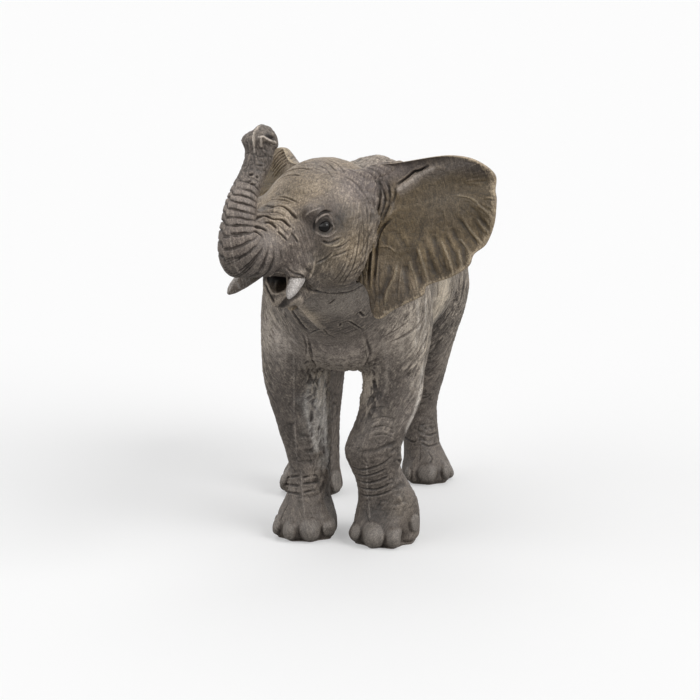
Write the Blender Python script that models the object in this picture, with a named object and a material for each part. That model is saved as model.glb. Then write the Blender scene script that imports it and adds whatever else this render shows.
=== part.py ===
"""Toy African elephant calf, walking with its head turned and its trunk raised.

The figure is an assembly of moulded pieces. The whole animal is first shaped as one skin of blended
lofts. The skin is then cut along the glue seams into its mouldings, and each moulding gets the peg or
the tab that plugs it into its neighbour. The animal looks along -Y, its left side is at +X, and the
origin lies on the ground in the middle of the finished figure's bounding box.
"""
import math

import bmesh
import bpy
import numpy as np
from mathutils import Matrix, Vector

for old in list(bpy.data.objects):
    bpy.data.objects.remove(old)

# Driving dimensions of the trunk of the body, in metres
BODY_LENGTH = 0.0645
BODY_WIDTH = 0.0340
BACK_HEIGHT = 0.0625
BELLY_HEIGHT = 0.0295
CHEST_Y = -0.0300

# Forelegs. Places along the body are counted from the chest, as shares of the body's length
FORELEG_HEIGHT = 0.0540
FORELEG_WIDTH = 0.0120
FORELEG_DEPTH = BODY_LENGTH * 0.279
LEFT_FOREFOOT_X = 0.0069
RIGHT_FOREFOOT_X = -0.0075
LEFT_FOREFOOT_SHARE = 0.209
RIGHT_FOREFOOT_SHARE = 0.236

# Hind legs
HIND_LEG_HEIGHT = 0.0530
HIND_LEG_WIDTH = 0.0124
HIND_LEG_DEPTH = BODY_LENGTH * 0.3225
LEFT_HIND_FOOT_X = 0.0094
RIGHT_HIND_FOOT_X = -0.0107
LEFT_HIND_FOOT_SHARE = 0.853
RIGHT_HIND_FOOT_SHARE = 0.664
HIND_TOE_TURN = math.radians(11.5)

# Toenails, as half sizes of the raised nail
NAIL_HALF_WIDTH = 0.0016
NAIL_HALF_HEIGHT = 0.0022
NAIL_HALF_DEPTH = 0.0016

# Neck and head
NECK_REACH = 0.0160
NECK_DROP = 0.00185
NECK_SHIFT = -0.0005
HEAD_LENGTH = 0.0230
HEAD_WIDTH = 0.0192
HEAD_HEIGHT = 0.0210
HEAD_TURN = math.radians(-40.0)
HEAD_TILT = math.radians(-5.0)

# Trunk
TRUNK_REACH = 0.0172
TRUNK_RISE = 0.0179
TRUNK_WIDTH = 0.0130

# Lower jaw and mouth
JAW_LENGTH = 0.0103
JAW_DROP = 0.0117
JAW_WIDTH = 0.0090
MOUTH_WIDTH = 0.0044
MOUTH_HEIGHT = 0.0030
MOUTH_DEPTH = 0.0080

EYE_RADIUS = 0.0014

# Ears
EAR_WIDTH = 0.0213
EAR_HEIGHT = 0.0275
EAR_RIM_THICKNESS = 0.0010
EAR_ROOT_THICKNESS = 0.0022
EAR_CUP = 0.0022
EAR_WAVE = 0.0007
EAR_TAB = 0.0026
LEFT_EAR_SWEEP = math.radians(28.0)
LEFT_EAR_TWIST = math.radians(0.0)
RIGHT_EAR_SWEEP = math.radians(13.0)
RIGHT_EAR_TWIST = math.radians(24.0)

# Tusks
TUSK_LENGTH = 0.0050
TUSK_WIDTH = 0.0034
TUSK_PLUG = 0.0026

# Tail
TAIL_LENGTH = 0.0250
TAIL_WIDTH = 0.0030
TAIL_PLUG = 0.0030

# Joints between the mouldings
SEAM_CLEARANCE = 0.0003
LEG_SEAM_X = 0.0048
LEG_GAP_X = -0.0012
PEG_RADIUS = 0.0026
PEG_LENGTH = 0.0024
NECK_PEG_RADIUS = 0.0045
NECK_PEG_LENGTH = 0.0040

# Fineness of the blended skin
SKIN_VOXEL = 0.00075
SKIN_TRIANGLES = 6400
RING_POINTS = 28
SMALL_RING_POINTS = 12
EAR_RIM_POINTS = 34
EAR_RIBS = 7
LOFT_RINGS = 40

# The back narrows towards the spine by this share of its half width
SPINE_NARROWING_SHARE = 0.30

BODY_DEPTH = BACK_HEIGHT - BELLY_HEIGHT
RUMP_Y = CHEST_Y + BODY_LENGTH
HEAD_CENTRE = Vector((NECK_SHIFT, CHEST_Y - NECK_REACH, BACK_HEIGHT - NECK_DROP))

# Body sections from chest to rump: place along the body, top, underside and half width, as shares
TORSO_SHARES = (
    (0.00, 0.77, 0.25, 0.15),
    (0.03, 0.86, 0.15, 0.27),
    (0.09, 0.97, 0.08, 0.36),
    (0.18, 1.00, 0.04, 0.41),
    (0.30, 0.99, 0.02, 0.44),
    (0.45, 0.955, 0.00, 0.485),
    (0.58, 0.955, 0.00, 0.50),
    (0.70, 0.985, 0.05, 0.485),
    (0.82, 0.955, 0.14, 0.455),
    (0.92, 0.85, 0.28, 0.36),
    (0.97, 0.74, 0.38, 0.25),
    (1.00, 0.64, 0.50, 0.09),
)

# Leg sections from sole to shoulder: height, outward lean, backward lean, half width and half depth
LEFT_FORELEG_SHARES = (
    (-0.03, 0.00, 0.00, 0.44, 0.32),
    (0.00, 0.00, 0.00, 0.46, 0.33),
    (0.02, 0.00, 0.00, 0.49, 0.35),
    (0.07, 0.01, 0.01, 0.48, 0.33),
    (0.13, 0.03, -0.01, 0.44, 0.27),
    (0.185, -0.035, -0.04, 0.385, 0.24),
    (0.24, -0.13, -0.09, 0.35, 0.245),
    (0.31, -0.17, -0.14, 0.40, 0.27),
    (0.37, -0.11, -0.13, 0.375, 0.27),
    (0.44, 0.00, -0.08, 0.375, 0.29),
    (0.54, 0.09, -0.04, 0.40, 0.34),
    (0.61, 0.12, -0.03, 0.47, 0.40),
    (0.70, 0.16, -0.03, 0.50, 0.47),
    (0.81, 0.16, -0.03, 0.48, 0.50),
    (0.93, 0.09, 0.00, 0.42, 0.45),
    (1.00, 0.01, 0.03, 0.25, 0.28),
)
RIGHT_FORELEG_SHARES = (
    (-0.03, 0.00, 0.00, 0.42, 0.30),
    (0.00, 0.00, 0.00, 0.44, 0.31),
    (0.02, 0.00, 0.00, 0.46, 0.33),
    (0.07, 0.00, 0.00, 0.44, 0.31),
    (0.13, -0.04, -0.01, 0.335, 0.25),
    (0.19, -0.06, -0.01, 0.285, 0.215),
    (0.26, -0.045, -0.01, 0.31, 0.22),
    (0.37, 0.01, -0.02, 0.37, 0.245),
    (0.48, 0.11, -0.04, 0.455, 0.30),
    (0.56, 0.14, -0.07, 0.475, 0.37),
    (0.67, 0.14, -0.10, 0.48, 0.44),
    (0.78, 0.13, -0.12, 0.47, 0.49),
    (0.89, 0.08, -0.10, 0.42, 0.45),
    (0.98, -0.04, -0.07, 0.25, 0.28),
)
LEFT_HIND_LEG_SHARES = (
    (-0.03, 0.00, 0.00, 0.35, 0.25),
    (0.00, 0.00, 0.00, 0.37, 0.26),
    (0.02, 0.00, 0.00, 0.395, 0.275),
    (0.075, -0.03, 0.00, 0.335, 0.25),
    (0.13, -0.09, 0.01, 0.28, 0.21),
    (0.21, -0.135, 0.03, 0.27, 0.19),
    (0.28, -0.14, 0.02, 0.28, 0.205),
    (0.38, -0.08, -0.02, 0.34, 0.27),
    (0.49, -0.02, -0.09, 0.40, 0.365),
    (0.62, 0.06, -0.125, 0.47, 0.46),
    (0.75, 0.08, -0.145, 0.50, 0.50),
    (0.89, 0.02, -0.17, 0.45, 0.46),
    (1.00, -0.11, -0.19, 0.29, 0.29),
)
RIGHT_HIND_LEG_SHARES = (
    (-0.03, 0.00, 0.00, 0.42, 0.25),
    (0.00, 0.00, 0.00, 0.445, 0.26),
    (0.02, 0.00, 0.00, 0.47, 0.275),
    (0.075, 0.00, 0.00, 0.42, 0.25),
    (0.13, -0.07, 0.02, 0.34, 0.22),
    (0.21, -0.12, 0.05, 0.28, 0.195),
    (0.28, -0.12, 0.09, 0.285, 0.21),
    (0.38, -0.10, 0.15, 0.34, 0.27),
    (0.49, -0.07, 0.25, 0.40, 0.36),
    (0.62, -0.03, 0.35, 0.47, 0.455),
    (0.75, -0.02, 0.40, 0.50, 0.50),
    (0.89, -0.08, 0.42, 0.45, 0.46),
    (1.00, -0.21, 0.42, 0.29, 0.29),
)

# Neck sections from the body to the head: place along the neck, half width, rise and drop
NECK_SHARES = (
    (-0.30, 0.58, 0.62, 0.56),
    (0.00, 0.59, 0.62, 0.57),
    (0.30, 0.55, 0.58, 0.53),
    (0.60, 0.49, 0.54, 0.47),
    (1.00, 0.40, 0.44, 0.38),
)

# Head sections from nape to nose: place along the head, middle height, half width, rise and drop
HEAD_SHARES = (
    (-0.50, 0.07, 0.16, 0.17, 0.17),
    (-0.41, 0.05, 0.34, 0.33, 0.31),
    (-0.26, 0.04, 0.46, 0.46, 0.40),
    (-0.09, 0.04, 0.50, 0.505, 0.46),
    (0.09, 0.02, 0.50, 0.485, 0.44),
    (0.24, 0.00, 0.46, 0.39, 0.38),
    (0.35, -0.04, 0.375, 0.295, 0.31),
    (0.43, -0.05, 0.30, 0.24, 0.27),
)

# Trunk sections from face to tip: reach, rise, half width and half thickness
TRUNK_SHARES = (
    (0.31, -0.04, 0.52, 0.52),
    (0.58, -0.055, 0.43, 0.435),
    (0.755, -0.095, 0.355, 0.36),
    (0.905, -0.06, 0.315, 0.32),
    (0.99, 0.055, 0.275, 0.275),
    (0.98, 0.18, 0.24, 0.235),
    (0.93, 0.315, 0.21, 0.20),
    (0.865, 0.425, 0.19, 0.175),
    (0.785, 0.525, 0.18, 0.165),
    (0.72, 0.65, 0.17, 0.15),
    (0.685, 0.77, 0.17, 0.145),
    (0.67, 0.87, 0.215, 0.165),
    (0.657, 0.95, 0.28, 0.20),
    (0.657, 0.995, 0.20, 0.13),
)

# Lower jaw sections from throat to lip: reach, drop, half width and half height
JAW_SHARES = (
    (0.05, 0.58, 0.50, 0.35),
    (0.50, 0.76, 0.40, 0.29),
    (0.80, 0.87, 0.31, 0.21),
    (0.94, 0.93, 0.20, 0.14),
    (1.00, 0.98, 0.10, 0.09),
)

# Ear outline from the top of the root round the rim to the lower lobe, as shares of width and height
EAR_RIM_SHARES = (
    (0.00, 0.36),
    (0.20, 0.37),
    (0.50, 0.40),
    (0.65, 0.40),
    (0.79, 0.38),
    (0.89, 0.34),
    (0.955, 0.28),
    (0.96, 0.20),
    (0.985, 0.14),
    (0.97, 0.02),
    (0.90, -0.11),
    (0.82, -0.165),
    (0.79, -0.23),
    (0.65, -0.295),
    (0.46, -0.345),
    (0.44, -0.395),
    (0.32, -0.44),
    (0.20, -0.485),
    (0.11, -0.53),
    (0.05, -0.51),
    (0.02, -0.44),
)
EAR_ROOT_TOP_SHARE = 0.33
EAR_ROOT_FOOT_SHARE = -0.29
EAR_ROOT_SIDE_SHARE = 0.43
EAR_ROOT_BACK_SHARE = -0.165
EAR_ROOT_LEAN_SHARE = 0.12
EAR_WAVES = 11

# Tusks: where each leaves the lip, and where it points, as sideways, forward and up
LEFT_TUSK_SEAT_SHARES = (0.27, 0.37, -0.295)
LEFT_TUSK_AIM_SHARES = (0.25, 0.72, -0.62)
RIGHT_TUSK_SEAT_SHARES = (-0.27, 0.43, -0.31)
RIGHT_TUSK_AIM_SHARES = (-0.25, 0.84, -0.50)
TUSK_SHEATH_BACK_SHARE = 0.07
TUSK_SHEATH_RISE_SHARE = 0.075
TUSK_SHARES = (
    (0.00, 0.46, 0.00),
    (0.30, 0.47, 0.00),
    (0.60, 0.40, 0.02),
    (0.85, 0.27, 0.05),
    (1.00, 0.08, 0.09),
)

# Tail sections from the rump to the tuft: place down the tail, sway, half width and half depth
TAIL_SHARES = (
    (0.00, 0.00, 0.50, 0.48),
    (0.10, 0.00, 0.46, 0.45),
    (0.30, 0.00, 0.34, 0.34),
    (0.60, 0.01, 0.26, 0.26),
    (0.80, 0.03, 0.27, 0.27),
    (0.90, 0.04, 0.36, 0.33),
    (1.00, 0.05, 0.12, 0.12),
)

# Shoulder and hip seams as outlines seen from the side: back from the chest and up from the ground
SHOULDER_SEAM_SHARES = (
    (-0.23, -0.30),
    (-0.23, 0.62),
    (-0.09, 0.74),
    (0.05, 0.825),
    (0.19, 0.86),
    (0.30, 0.81),
    (0.355, 0.71),
    (0.355, 0.60),
    (0.33, 0.50),
    (0.33, -0.30),
)
HIP_SEAM_SHARES = (
    (1.06, -0.30),
    (1.06, 0.50),
    (1.02, 0.67),
    (0.95, 0.785),
    (0.84, 0.84),
    (0.71, 0.80),
    (0.635, 0.70),
    (0.61, 0.60),
    (0.60, 0.50),
    (0.59, 0.40),
    (0.50, 0.30),
    (0.50, -0.30),
)
FORELEG_ROOM_SHARES = (
    (-0.20, -0.25),
    (-0.20, 0.580),
    (0.00, 0.572),
    (0.03, 0.535),
    (0.09, 0.502),
    (0.18, 0.484),
    (0.31, 0.474),
    (0.32, 0.42),
    (0.32, -0.25),
)
HIND_LEG_ROOM_SHARES = (
    (1.04, -0.25),
    (1.04, 0.660),
    (0.92, 0.610),
    (0.82, 0.540),
    (0.70, 0.490),
    (0.64, 0.475),
    (0.62, 0.42),
    (0.52, 0.30),
    (0.52, -0.25),
)
SHOULDER_PEG_SHARE = 0.21
HIP_PEG_SHARE = 0.80
NECK_SEAM_FOOT_SHARES = (-0.01, 0.665)
NECK_SEAM_TOP_SHARES = (0.11, 1.06)


def smooth_rows(rows, count):
    """Catmull-Rom curve through a table of rows, sampled at count even steps."""
    table = np.array(rows, dtype=float)
    padded = np.vstack((2 * table[0] - table[1], table, 2 * table[-1] - table[-2]))
    steps = np.linspace(0, len(table) - 1, count)
    first = np.minimum(steps.astype(int), len(table) - 2)
    t = (steps - first)[:, None]
    a, b, c, d = (padded[first + k] for k in range(4))
    return 0.5 * (2 * b + (c - a) * t + (2 * a - 5 * b + 4 * c - d) * t ** 2
                  + (3 * b - a - 3 * c + d) * t ** 3)


def mesh_object(name, vertices, faces):
    """New object from points and faces, with its faces turned outwards."""
    mesh = bpy.data.meshes.new(name)
    mesh.from_pydata([tuple(v) for v in vertices], [], faces)
    shape = bmesh.new()
    shape.from_mesh(mesh)
    bmesh.ops.recalc_face_normals(shape, faces=shape.faces)
    shape.to_mesh(mesh)
    shape.free()
    piece = bpy.data.objects.new(name, mesh)
    bpy.context.scene.collection.objects.link(piece)
    return piece


def loft(name, rings):
    """Closed loft through rings of equal length, with a flat cap at each end."""
    rings = [np.array(ring) for ring in rings]
    count = len(rings[0])
    vertices = [point for ring in rings for point in ring]
    faces = []
    for i in range(len(rings) - 1):
        for j in range(count):
            k = (j + 1) % count
            faces.append((i * count + j, i * count + k, (i + 1) * count + k, (i + 1) * count + j))
    faces.append(tuple(range(count)))
    faces.append(tuple(range((len(rings) - 1) * count, len(rings) * count)))
    return mesh_object(name, vertices, faces)


def oval(centre, side, up, half_width, rise, drop, points=RING_POINTS, narrowing=0):
    """Ring round a centre, with its own rise and drop, that can narrow towards its top."""
    ring = []
    for step in range(points):
        angle = 2 * math.pi * step / points
        height = math.sin(angle)
        reach = rise if height > 0 else drop
        width = half_width * math.cos(angle) * (1 - narrowing * max(0, height) ** 2)
        ring.append(centre + side * width + up * (reach * height))
    return ring


def swept(name, stations, side, points=RING_POINTS):
    """Loft along a path of (centre, half width, rise, drop), with rings square to the path."""
    centres = [Vector(station[0]) for station in stations]
    rings = []
    for i, (centre, half_width, rise, drop) in enumerate(stations):
        along = (centres[min(i + 1, len(centres) - 1)] - centres[max(i - 1, 0)]).normalized()
        up = side.cross(along).normalized()
        rings.append(oval(centres[i], side, up, half_width, rise, drop, points))
    return loft(name, rings)


def evaluated(piece, *modifiers):
    """Apply modifiers, given as (type, settings), to a piece and keep the result."""
    for kind, settings in modifiers:
        modifier = piece.modifiers.new(kind.title(), kind)
        for key, value in settings.items():
            setattr(modifier, key, value)
    graph = bpy.context.evaluated_depsgraph_get()
    mesh = bpy.data.meshes.new_from_object(piece.evaluated_get(graph))
    piece.modifiers.clear()
    piece.data = mesh
    return piece


def joined(name, pieces):
    """One object that holds the bodies of several."""
    shape = bmesh.new()
    for piece in pieces:
        shape.from_mesh(piece.data)
        bpy.data.objects.remove(piece)
    mesh = bpy.data.meshes.new(name)
    shape.to_mesh(mesh)
    shape.free()
    whole = bpy.data.objects.new(name, mesh)
    bpy.context.scene.collection.objects.link(whole)
    return whole


def copied(piece, name):
    """Independent copy of a piece."""
    twin = bpy.data.objects.new(name, piece.data.copy())
    bpy.context.scene.collection.objects.link(twin)
    return twin


def grown(piece, distance):
    """Copy of a closed piece with its skin moved outwards."""
    twin = copied(piece, piece.name + "_grown")
    shape = bmesh.new()
    shape.from_mesh(twin.data)
    shape.normal_update()
    shifts = {v: v.normal * distance * v.calc_shell_factor() for v in shape.verts}
    for vertex, shift in shifts.items():
        vertex.co += shift
    shape.to_mesh(twin.data)
    shape.free()
    return twin


def combined(piece, operation, tool, keep_tool=False):
    """Boolean of a piece with a tool."""
    evaluated(piece, ("BOOLEAN", {"operation": operation, "object": tool}))
    if not keep_tool:
        bpy.data.objects.remove(tool)
    return piece


def head_point(side, forward, up):
    """Place in the figure of a point given in the head's own axes."""
    return HEAD_CENTRE + HEAD_AXES @ Vector((side, -forward, up))


HEAD_AXES = Matrix.Rotation(HEAD_TURN, 3, "Z") @ Matrix.Rotation(HEAD_TILT, 3, "Y")
HEAD_SIDE = HEAD_AXES @ Vector((1, 0, 0))
BODY_SIDE = Vector((1, 0, 0))


def torso_form():
    """Barrel of the body, widest low on the flanks and ridged along the back."""
    rings = []
    for along, top, foot, half in smooth_rows(TORSO_SHARES, LOFT_RINGS):
        drop = BODY_DEPTH * (top - foot) * 0.45
        rise = BODY_DEPTH * (top - foot) * 0.55
        centre = Vector((0, CHEST_Y + BODY_LENGTH * along, BELLY_HEIGHT + BODY_DEPTH * foot + drop))
        rings.append(oval(centre, BODY_SIDE, Vector((0, 0, 1)), BODY_WIDTH * half, rise, drop,
                          narrowing=SPINE_NARROWING_SHARE))
    return loft("torso_form", rings)


def leg_form(name, shares, foot_x, foot_y, height, width, depth):
    """Leg from sole to shoulder, with its lean outwards and backwards."""
    outward = math.copysign(1, foot_x)
    rings = []
    for level, lean, back, half_width, half_depth in smooth_rows(shares, LOFT_RINGS):
        centre = Vector((foot_x + outward * width * lean, foot_y + depth * back, height * level))
        half = depth * half_depth
        rings.append(oval(centre, BODY_SIDE, Vector((0, 1, 0)), width * half_width, half, half))
    return loft(name, rings)


def ball(name, centre, half_sizes, turn):
    """Ellipsoid turned about the upright."""
    shape = bmesh.new()
    bmesh.ops.create_uvsphere(shape, u_segments=16, v_segments=10, radius=1)
    size = Matrix.Diagonal(Vector(half_sizes).to_4d())
    size[3][3] = 1
    shape.transform(Matrix.Translation(centre) @ Matrix.Rotation(turn, 4, "Z") @ size)
    mesh = bpy.data.meshes.new(name)
    shape.to_mesh(mesh)
    shape.free()
    piece = bpy.data.objects.new(name, mesh)
    bpy.context.scene.collection.objects.link(piece)
    return piece


def toe_forms(name, foot_x, foot_y, half_width, half_depth, toe_turn, count):
    """Row of nails round the front of a foot."""
    toes = []
    for i in range(count):
        angle = toe_turn + math.radians(36) * (i - (count - 1) / 2)
        centre = Vector((foot_x + half_width * math.sin(angle), foot_y - half_depth * math.cos(angle),
                         NAIL_HALF_HEIGHT * 0.85))
        size = (NAIL_HALF_WIDTH, NAIL_HALF_DEPTH, NAIL_HALF_HEIGHT)
        toes.append(ball(name, centre, size, angle))
    return toes


def neck_form():
    """Short thick neck from the chest to the back of the head."""
    root = Vector((0, CHEST_Y + BODY_LENGTH * 0.09, BELLY_HEIGHT + BODY_DEPTH * 0.60))
    stations = []
    for along, half_width, rise, drop in smooth_rows(NECK_SHARES, 10):
        centre = root.lerp(HEAD_CENTRE, along)
        stations.append((centre, HEAD_WIDTH * half_width, HEAD_HEIGHT * rise, HEAD_HEIGHT * drop))
    return swept("neck_form", stations, BODY_SIDE)


def head_form():
    """Skull from nape to nose."""
    rings = []
    for along, middle, half_width, rise, drop in smooth_rows(HEAD_SHARES, LOFT_RINGS):
        centre = head_point(0, HEAD_LENGTH * along, HEAD_HEIGHT * middle)
        rings.append(oval(centre, HEAD_SIDE, HEAD_AXES @ Vector((0, 0, 1)), HEAD_WIDTH * half_width,
                          HEAD_HEIGHT * rise, HEAD_HEIGHT * drop))
    return loft("head_form", rings)


def trunk_form():
    """Trunk that leaves the face forwards and curls up in front of it to a flared tip."""
    stations = []
    for reach, rise, half_width, half_height in smooth_rows(TRUNK_SHARES, LOFT_RINGS):
        centre = head_point(0, TRUNK_REACH * reach, TRUNK_RISE * rise)
        thick = TRUNK_WIDTH * half_height
        stations.append((centre, TRUNK_WIDTH * half_width, thick, thick))
    return swept("trunk_form", stations, HEAD_SIDE)


def jaw_form():
    """Lower jaw that ends in the pointed lip."""
    stations = []
    for reach, drop, half_width, half_height in smooth_rows(JAW_SHARES, 10):
        centre = head_point(0, JAW_LENGTH * reach, -JAW_DROP * drop)
        height = JAW_WIDTH * half_height
        stations.append((centre, JAW_WIDTH * half_width, height, height))
    return swept("jaw_form", stations, HEAD_SIDE)


def cheek_forms():
    """Jaw muscles that round the head below the eyes."""
    cheeks = []
    for hand in (-1, 1):
        centre = head_point(hand * HEAD_WIDTH * 0.24, -HEAD_LENGTH * 0.02, -HEAD_HEIGHT * 0.20)
        size = (HEAD_WIDTH * 0.25, HEAD_LENGTH * 0.28, HEAD_HEIGHT * 0.27)
        cheeks.append(ball("cheek_form", centre, size, HEAD_TURN))
    return cheeks


def eye_forms():
    """Eyeballs under their brows, at both sides of the head."""
    eyes = []
    for hand in (-1, 1):
        eye = head_point(hand * HEAD_WIDTH * 0.40, HEAD_LENGTH * 0.27, HEAD_HEIGHT * 0.09)
        eyes.append(ball("eye_form", eye, (EYE_RADIUS, EYE_RADIUS, EYE_RADIUS), HEAD_TURN))
        brow = head_point(hand * HEAD_WIDTH * 0.37, HEAD_LENGTH * 0.26, HEAD_HEIGHT * 0.19)
        size = (HEAD_WIDTH * 0.09, HEAD_LENGTH * 0.14, HEAD_HEIGHT * 0.07)
        eyes.append(ball("brow_form", brow, size, HEAD_TURN))
    return eyes


def tusk_sheath_forms():
    """Swellings of the upper lip round the tusks."""
    sheaths = []
    for side, forward, up in (LEFT_TUSK_SEAT_SHARES, RIGHT_TUSK_SEAT_SHARES):
        centre = head_point(HEAD_WIDTH * side, HEAD_LENGTH * (forward - TUSK_SHEATH_BACK_SHARE),
                            HEAD_HEIGHT * (up + TUSK_SHEATH_RISE_SHARE))
        size = (HEAD_WIDTH * 0.12, HEAD_LENGTH * 0.14, HEAD_HEIGHT * 0.13)
        sheaths.append(ball("tusk_sheath_form", centre, size, HEAD_TURN))
    return sheaths


def animal_skin():
    """One closed skin blended from all the forms, with flat soles on the ground."""
    forms = [torso_form(), neck_form(), head_form(), trunk_form(), jaw_form()]
    forms += cheek_forms() + tusk_sheath_forms() + eye_forms()
    fore = (FORELEG_HEIGHT, FORELEG_WIDTH, FORELEG_DEPTH)
    hind = (HIND_LEG_HEIGHT, HIND_LEG_WIDTH, HIND_LEG_DEPTH)
    legs = (
        (LEFT_FORELEG_SHARES, LEFT_FOREFOOT_X, LEFT_FOREFOOT_SHARE, fore, 4, 0),
        (RIGHT_FORELEG_SHARES, RIGHT_FOREFOOT_X, RIGHT_FOREFOOT_SHARE, fore, 4, 0),
        (LEFT_HIND_LEG_SHARES, LEFT_HIND_FOOT_X, LEFT_HIND_FOOT_SHARE, hind, 3, HIND_TOE_TURN),
        (RIGHT_HIND_LEG_SHARES, RIGHT_HIND_FOOT_X, RIGHT_HIND_FOOT_SHARE, hind, 3, -HIND_TOE_TURN),
    )
    for shares, foot_x, place, sizes, toes, toe_turn in legs:
        height, width, depth = sizes
        foot_y = CHEST_Y + BODY_LENGTH * place
        forms.append(leg_form("leg_form", shares, foot_x, foot_y, height, width, depth))
        half_width = width * shares[2][3]
        half_depth = depth * shares[2][4]
        forms += toe_forms("toe_form", foot_x, foot_y, half_width, half_depth, toe_turn, toes)
    skin = joined("animal_skin", forms)
    evaluated(skin, ("REMESH", {"mode": "VOXEL", "voxel_size": SKIN_VOXEL}),
              ("SMOOTH", {"factor": 0.5, "iterations": 5}))
    triangles = 2 * len(skin.data.polygons)
    evaluated(skin, ("DECIMATE", {"ratio": SKIN_TRIANGLES / triangles}))
    cut_ground(skin)
    return skin


def cut_ground(skin):
    """Trim the skin at the ground and close the soles."""
    shape = bmesh.new()
    shape.from_mesh(skin.data)
    everything = shape.verts[:] + shape.edges[:] + shape.faces[:]
    bmesh.ops.bisect_plane(shape, geom=everything, dist=SEAM_CLEARANCE / 30, plane_co=(0, 0, 0),
                           plane_no=(0, 0, -1), clear_outer=True)
    rims = [edge for edge in shape.edges if edge.is_boundary]
    bmesh.ops.holes_fill(shape, edges=rims, sides=0)
    bmesh.ops.triangulate(shape, faces=shape.faces[:])
    shape.to_mesh(skin.data)
    shape.free()


def side_prism(name, outline, hand, inner_x, outer_x, clearance):
    """Prism out to one side of the body over an outline of (back, up) shares, grown by a clearance."""
    points = []
    for back, up in outline:
        points.append(Vector((CHEST_Y + BODY_LENGTH * back, BACK_HEIGHT * up)))
    middle = sum(points, Vector((0, 0))) / len(points)
    rings = []
    for x in (inner_x - clearance, outer_x):
        ring = []
        for i, point in enumerate(points):
            tangent = points[(i + 1) % len(points)] - points[i - 1]
            normal = Vector((tangent.y, -tangent.x)).normalized()
            if normal.dot(point - middle) < 0:
                normal = -normal
            moved = point + normal * clearance
            ring.append(Vector((hand * x, moved.x, moved.y)))
        rings.append(ring)
    return loft(name, rings)


def leg_cutter(upper, lower, hand, clearance):
    """Room of a leg: its shoulder or hip beside the body, and all of it below the belly."""
    round_upper = smooth_rows(upper, 3 * len(upper))
    top = side_prism("leg_cut", round_upper, hand, LEG_SEAM_X, BODY_WIDTH, clearance)
    foot = side_prism("leg_cut_foot", lower, hand, hand * LEG_GAP_X, BODY_WIDTH * 0.8, clearance)
    return combined(top, "UNION", foot)


def neck_prism(name, clearance):
    """Block in front of the neck seam, moved back by a clearance."""
    foot = Vector((0, CHEST_Y + BODY_LENGTH * NECK_SEAM_FOOT_SHARES[0],
                   BACK_HEIGHT * NECK_SEAM_FOOT_SHARES[1]))
    top = Vector((0, CHEST_Y + BODY_LENGTH * NECK_SEAM_TOP_SHARES[0],
                  BACK_HEIGHT * NECK_SEAM_TOP_SHARES[1]))
    rise = (top - foot).normalized()
    back = BODY_SIDE.cross(rise)
    if back.y < 0:
        back = -back
    low = foot - rise * BODY_LENGTH + back * clearance
    high = top + rise * BODY_LENGTH + back * clearance
    rings = []
    for x in (-BODY_WIDTH, BODY_WIDTH):
        side = BODY_SIDE * x
        rings.append([low + side, high + side, high + side - back * BODY_LENGTH,
                      low + side - back * BODY_LENGTH])
    return loft(name, rings), (foot + top) / 2, back


def peg(name, centre, direction, radius, length, sunk):
    """Round peg that starts inside its own piece and stands out of its joint face."""
    shape = bmesh.new()
    bmesh.ops.create_cone(shape, cap_ends=True, segments=16, radius1=radius, radius2=radius,
                          depth=length + sunk)
    turn = Vector((0, 0, 1)).rotation_difference(direction).to_matrix().to_4x4()
    middle = centre + direction * (length - sunk) / 2
    shape.transform(Matrix.Translation(middle) @ turn)
    mesh = bpy.data.meshes.new(name)
    shape.to_mesh(mesh)
    shape.free()
    piece = bpy.data.objects.new(name, mesh)
    bpy.context.scene.collection.objects.link(piece)
    return piece


def plugged(piece, socketed, name, centre, direction, radius, length):
    """Give a piece its peg, and its neighbour the socket that the peg fits with clearance."""
    hole = peg(name + "_socket", centre, direction, radius + SEAM_CLEARANCE, length + SEAM_CLEARANCE,
               length)
    combined(socketed, "DIFFERENCE", hole)
    combined(piece, "UNION", peg(name + "_peg", centre, direction, radius, length, length))


def cut_mouldings(skin):
    """Cut the skin along its glue seams into torso, head and legs, and peg them together."""
    front, neck_centre, neck_back = neck_prism("neck_cut", 0)
    front_grown, _, _ = neck_prism("neck_cut_grown", SEAM_CLEARANCE)
    head = combined(copied(skin, "head"), "INTERSECT", front)
    body = combined(skin, "DIFFERENCE", front_grown)
    pieces = {"head": head}
    torso = copied(body, "torso")
    seams = (
        ("left_foreleg", SHOULDER_SEAM_SHARES, FORELEG_ROOM_SHARES, 1, SHOULDER_PEG_SHARE),
        ("right_foreleg", SHOULDER_SEAM_SHARES, FORELEG_ROOM_SHARES, -1, SHOULDER_PEG_SHARE),
        ("left_hind_leg", HIP_SEAM_SHARES, HIND_LEG_ROOM_SHARES, 1, HIP_PEG_SHARE),
        ("right_hind_leg", HIP_SEAM_SHARES, HIND_LEG_ROOM_SHARES, -1, HIP_PEG_SHARE),
    )
    for name, upper, lower, hand, back in seams:
        pieces[name] = combined(copied(body, name), "INTERSECT", leg_cutter(upper, lower, hand, 0))
        combined(torso, "DIFFERENCE", leg_cutter(upper, lower, hand, SEAM_CLEARANCE))
    pieces["torso"] = torso
    bpy.data.objects.remove(body)
    for name, upper, lower, hand, back in seams:
        centre = Vector((hand * LEG_SEAM_X, CHEST_Y + BODY_LENGTH * back, BACK_HEIGHT * 0.69))
        plugged(pieces[name], torso, name, centre, Vector((-hand, 0, 0)), PEG_RADIUS, PEG_LENGTH)
    plugged(head, torso, "neck", neck_centre, neck_back, NECK_PEG_RADIUS, NECK_PEG_LENGTH)
    return pieces


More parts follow.
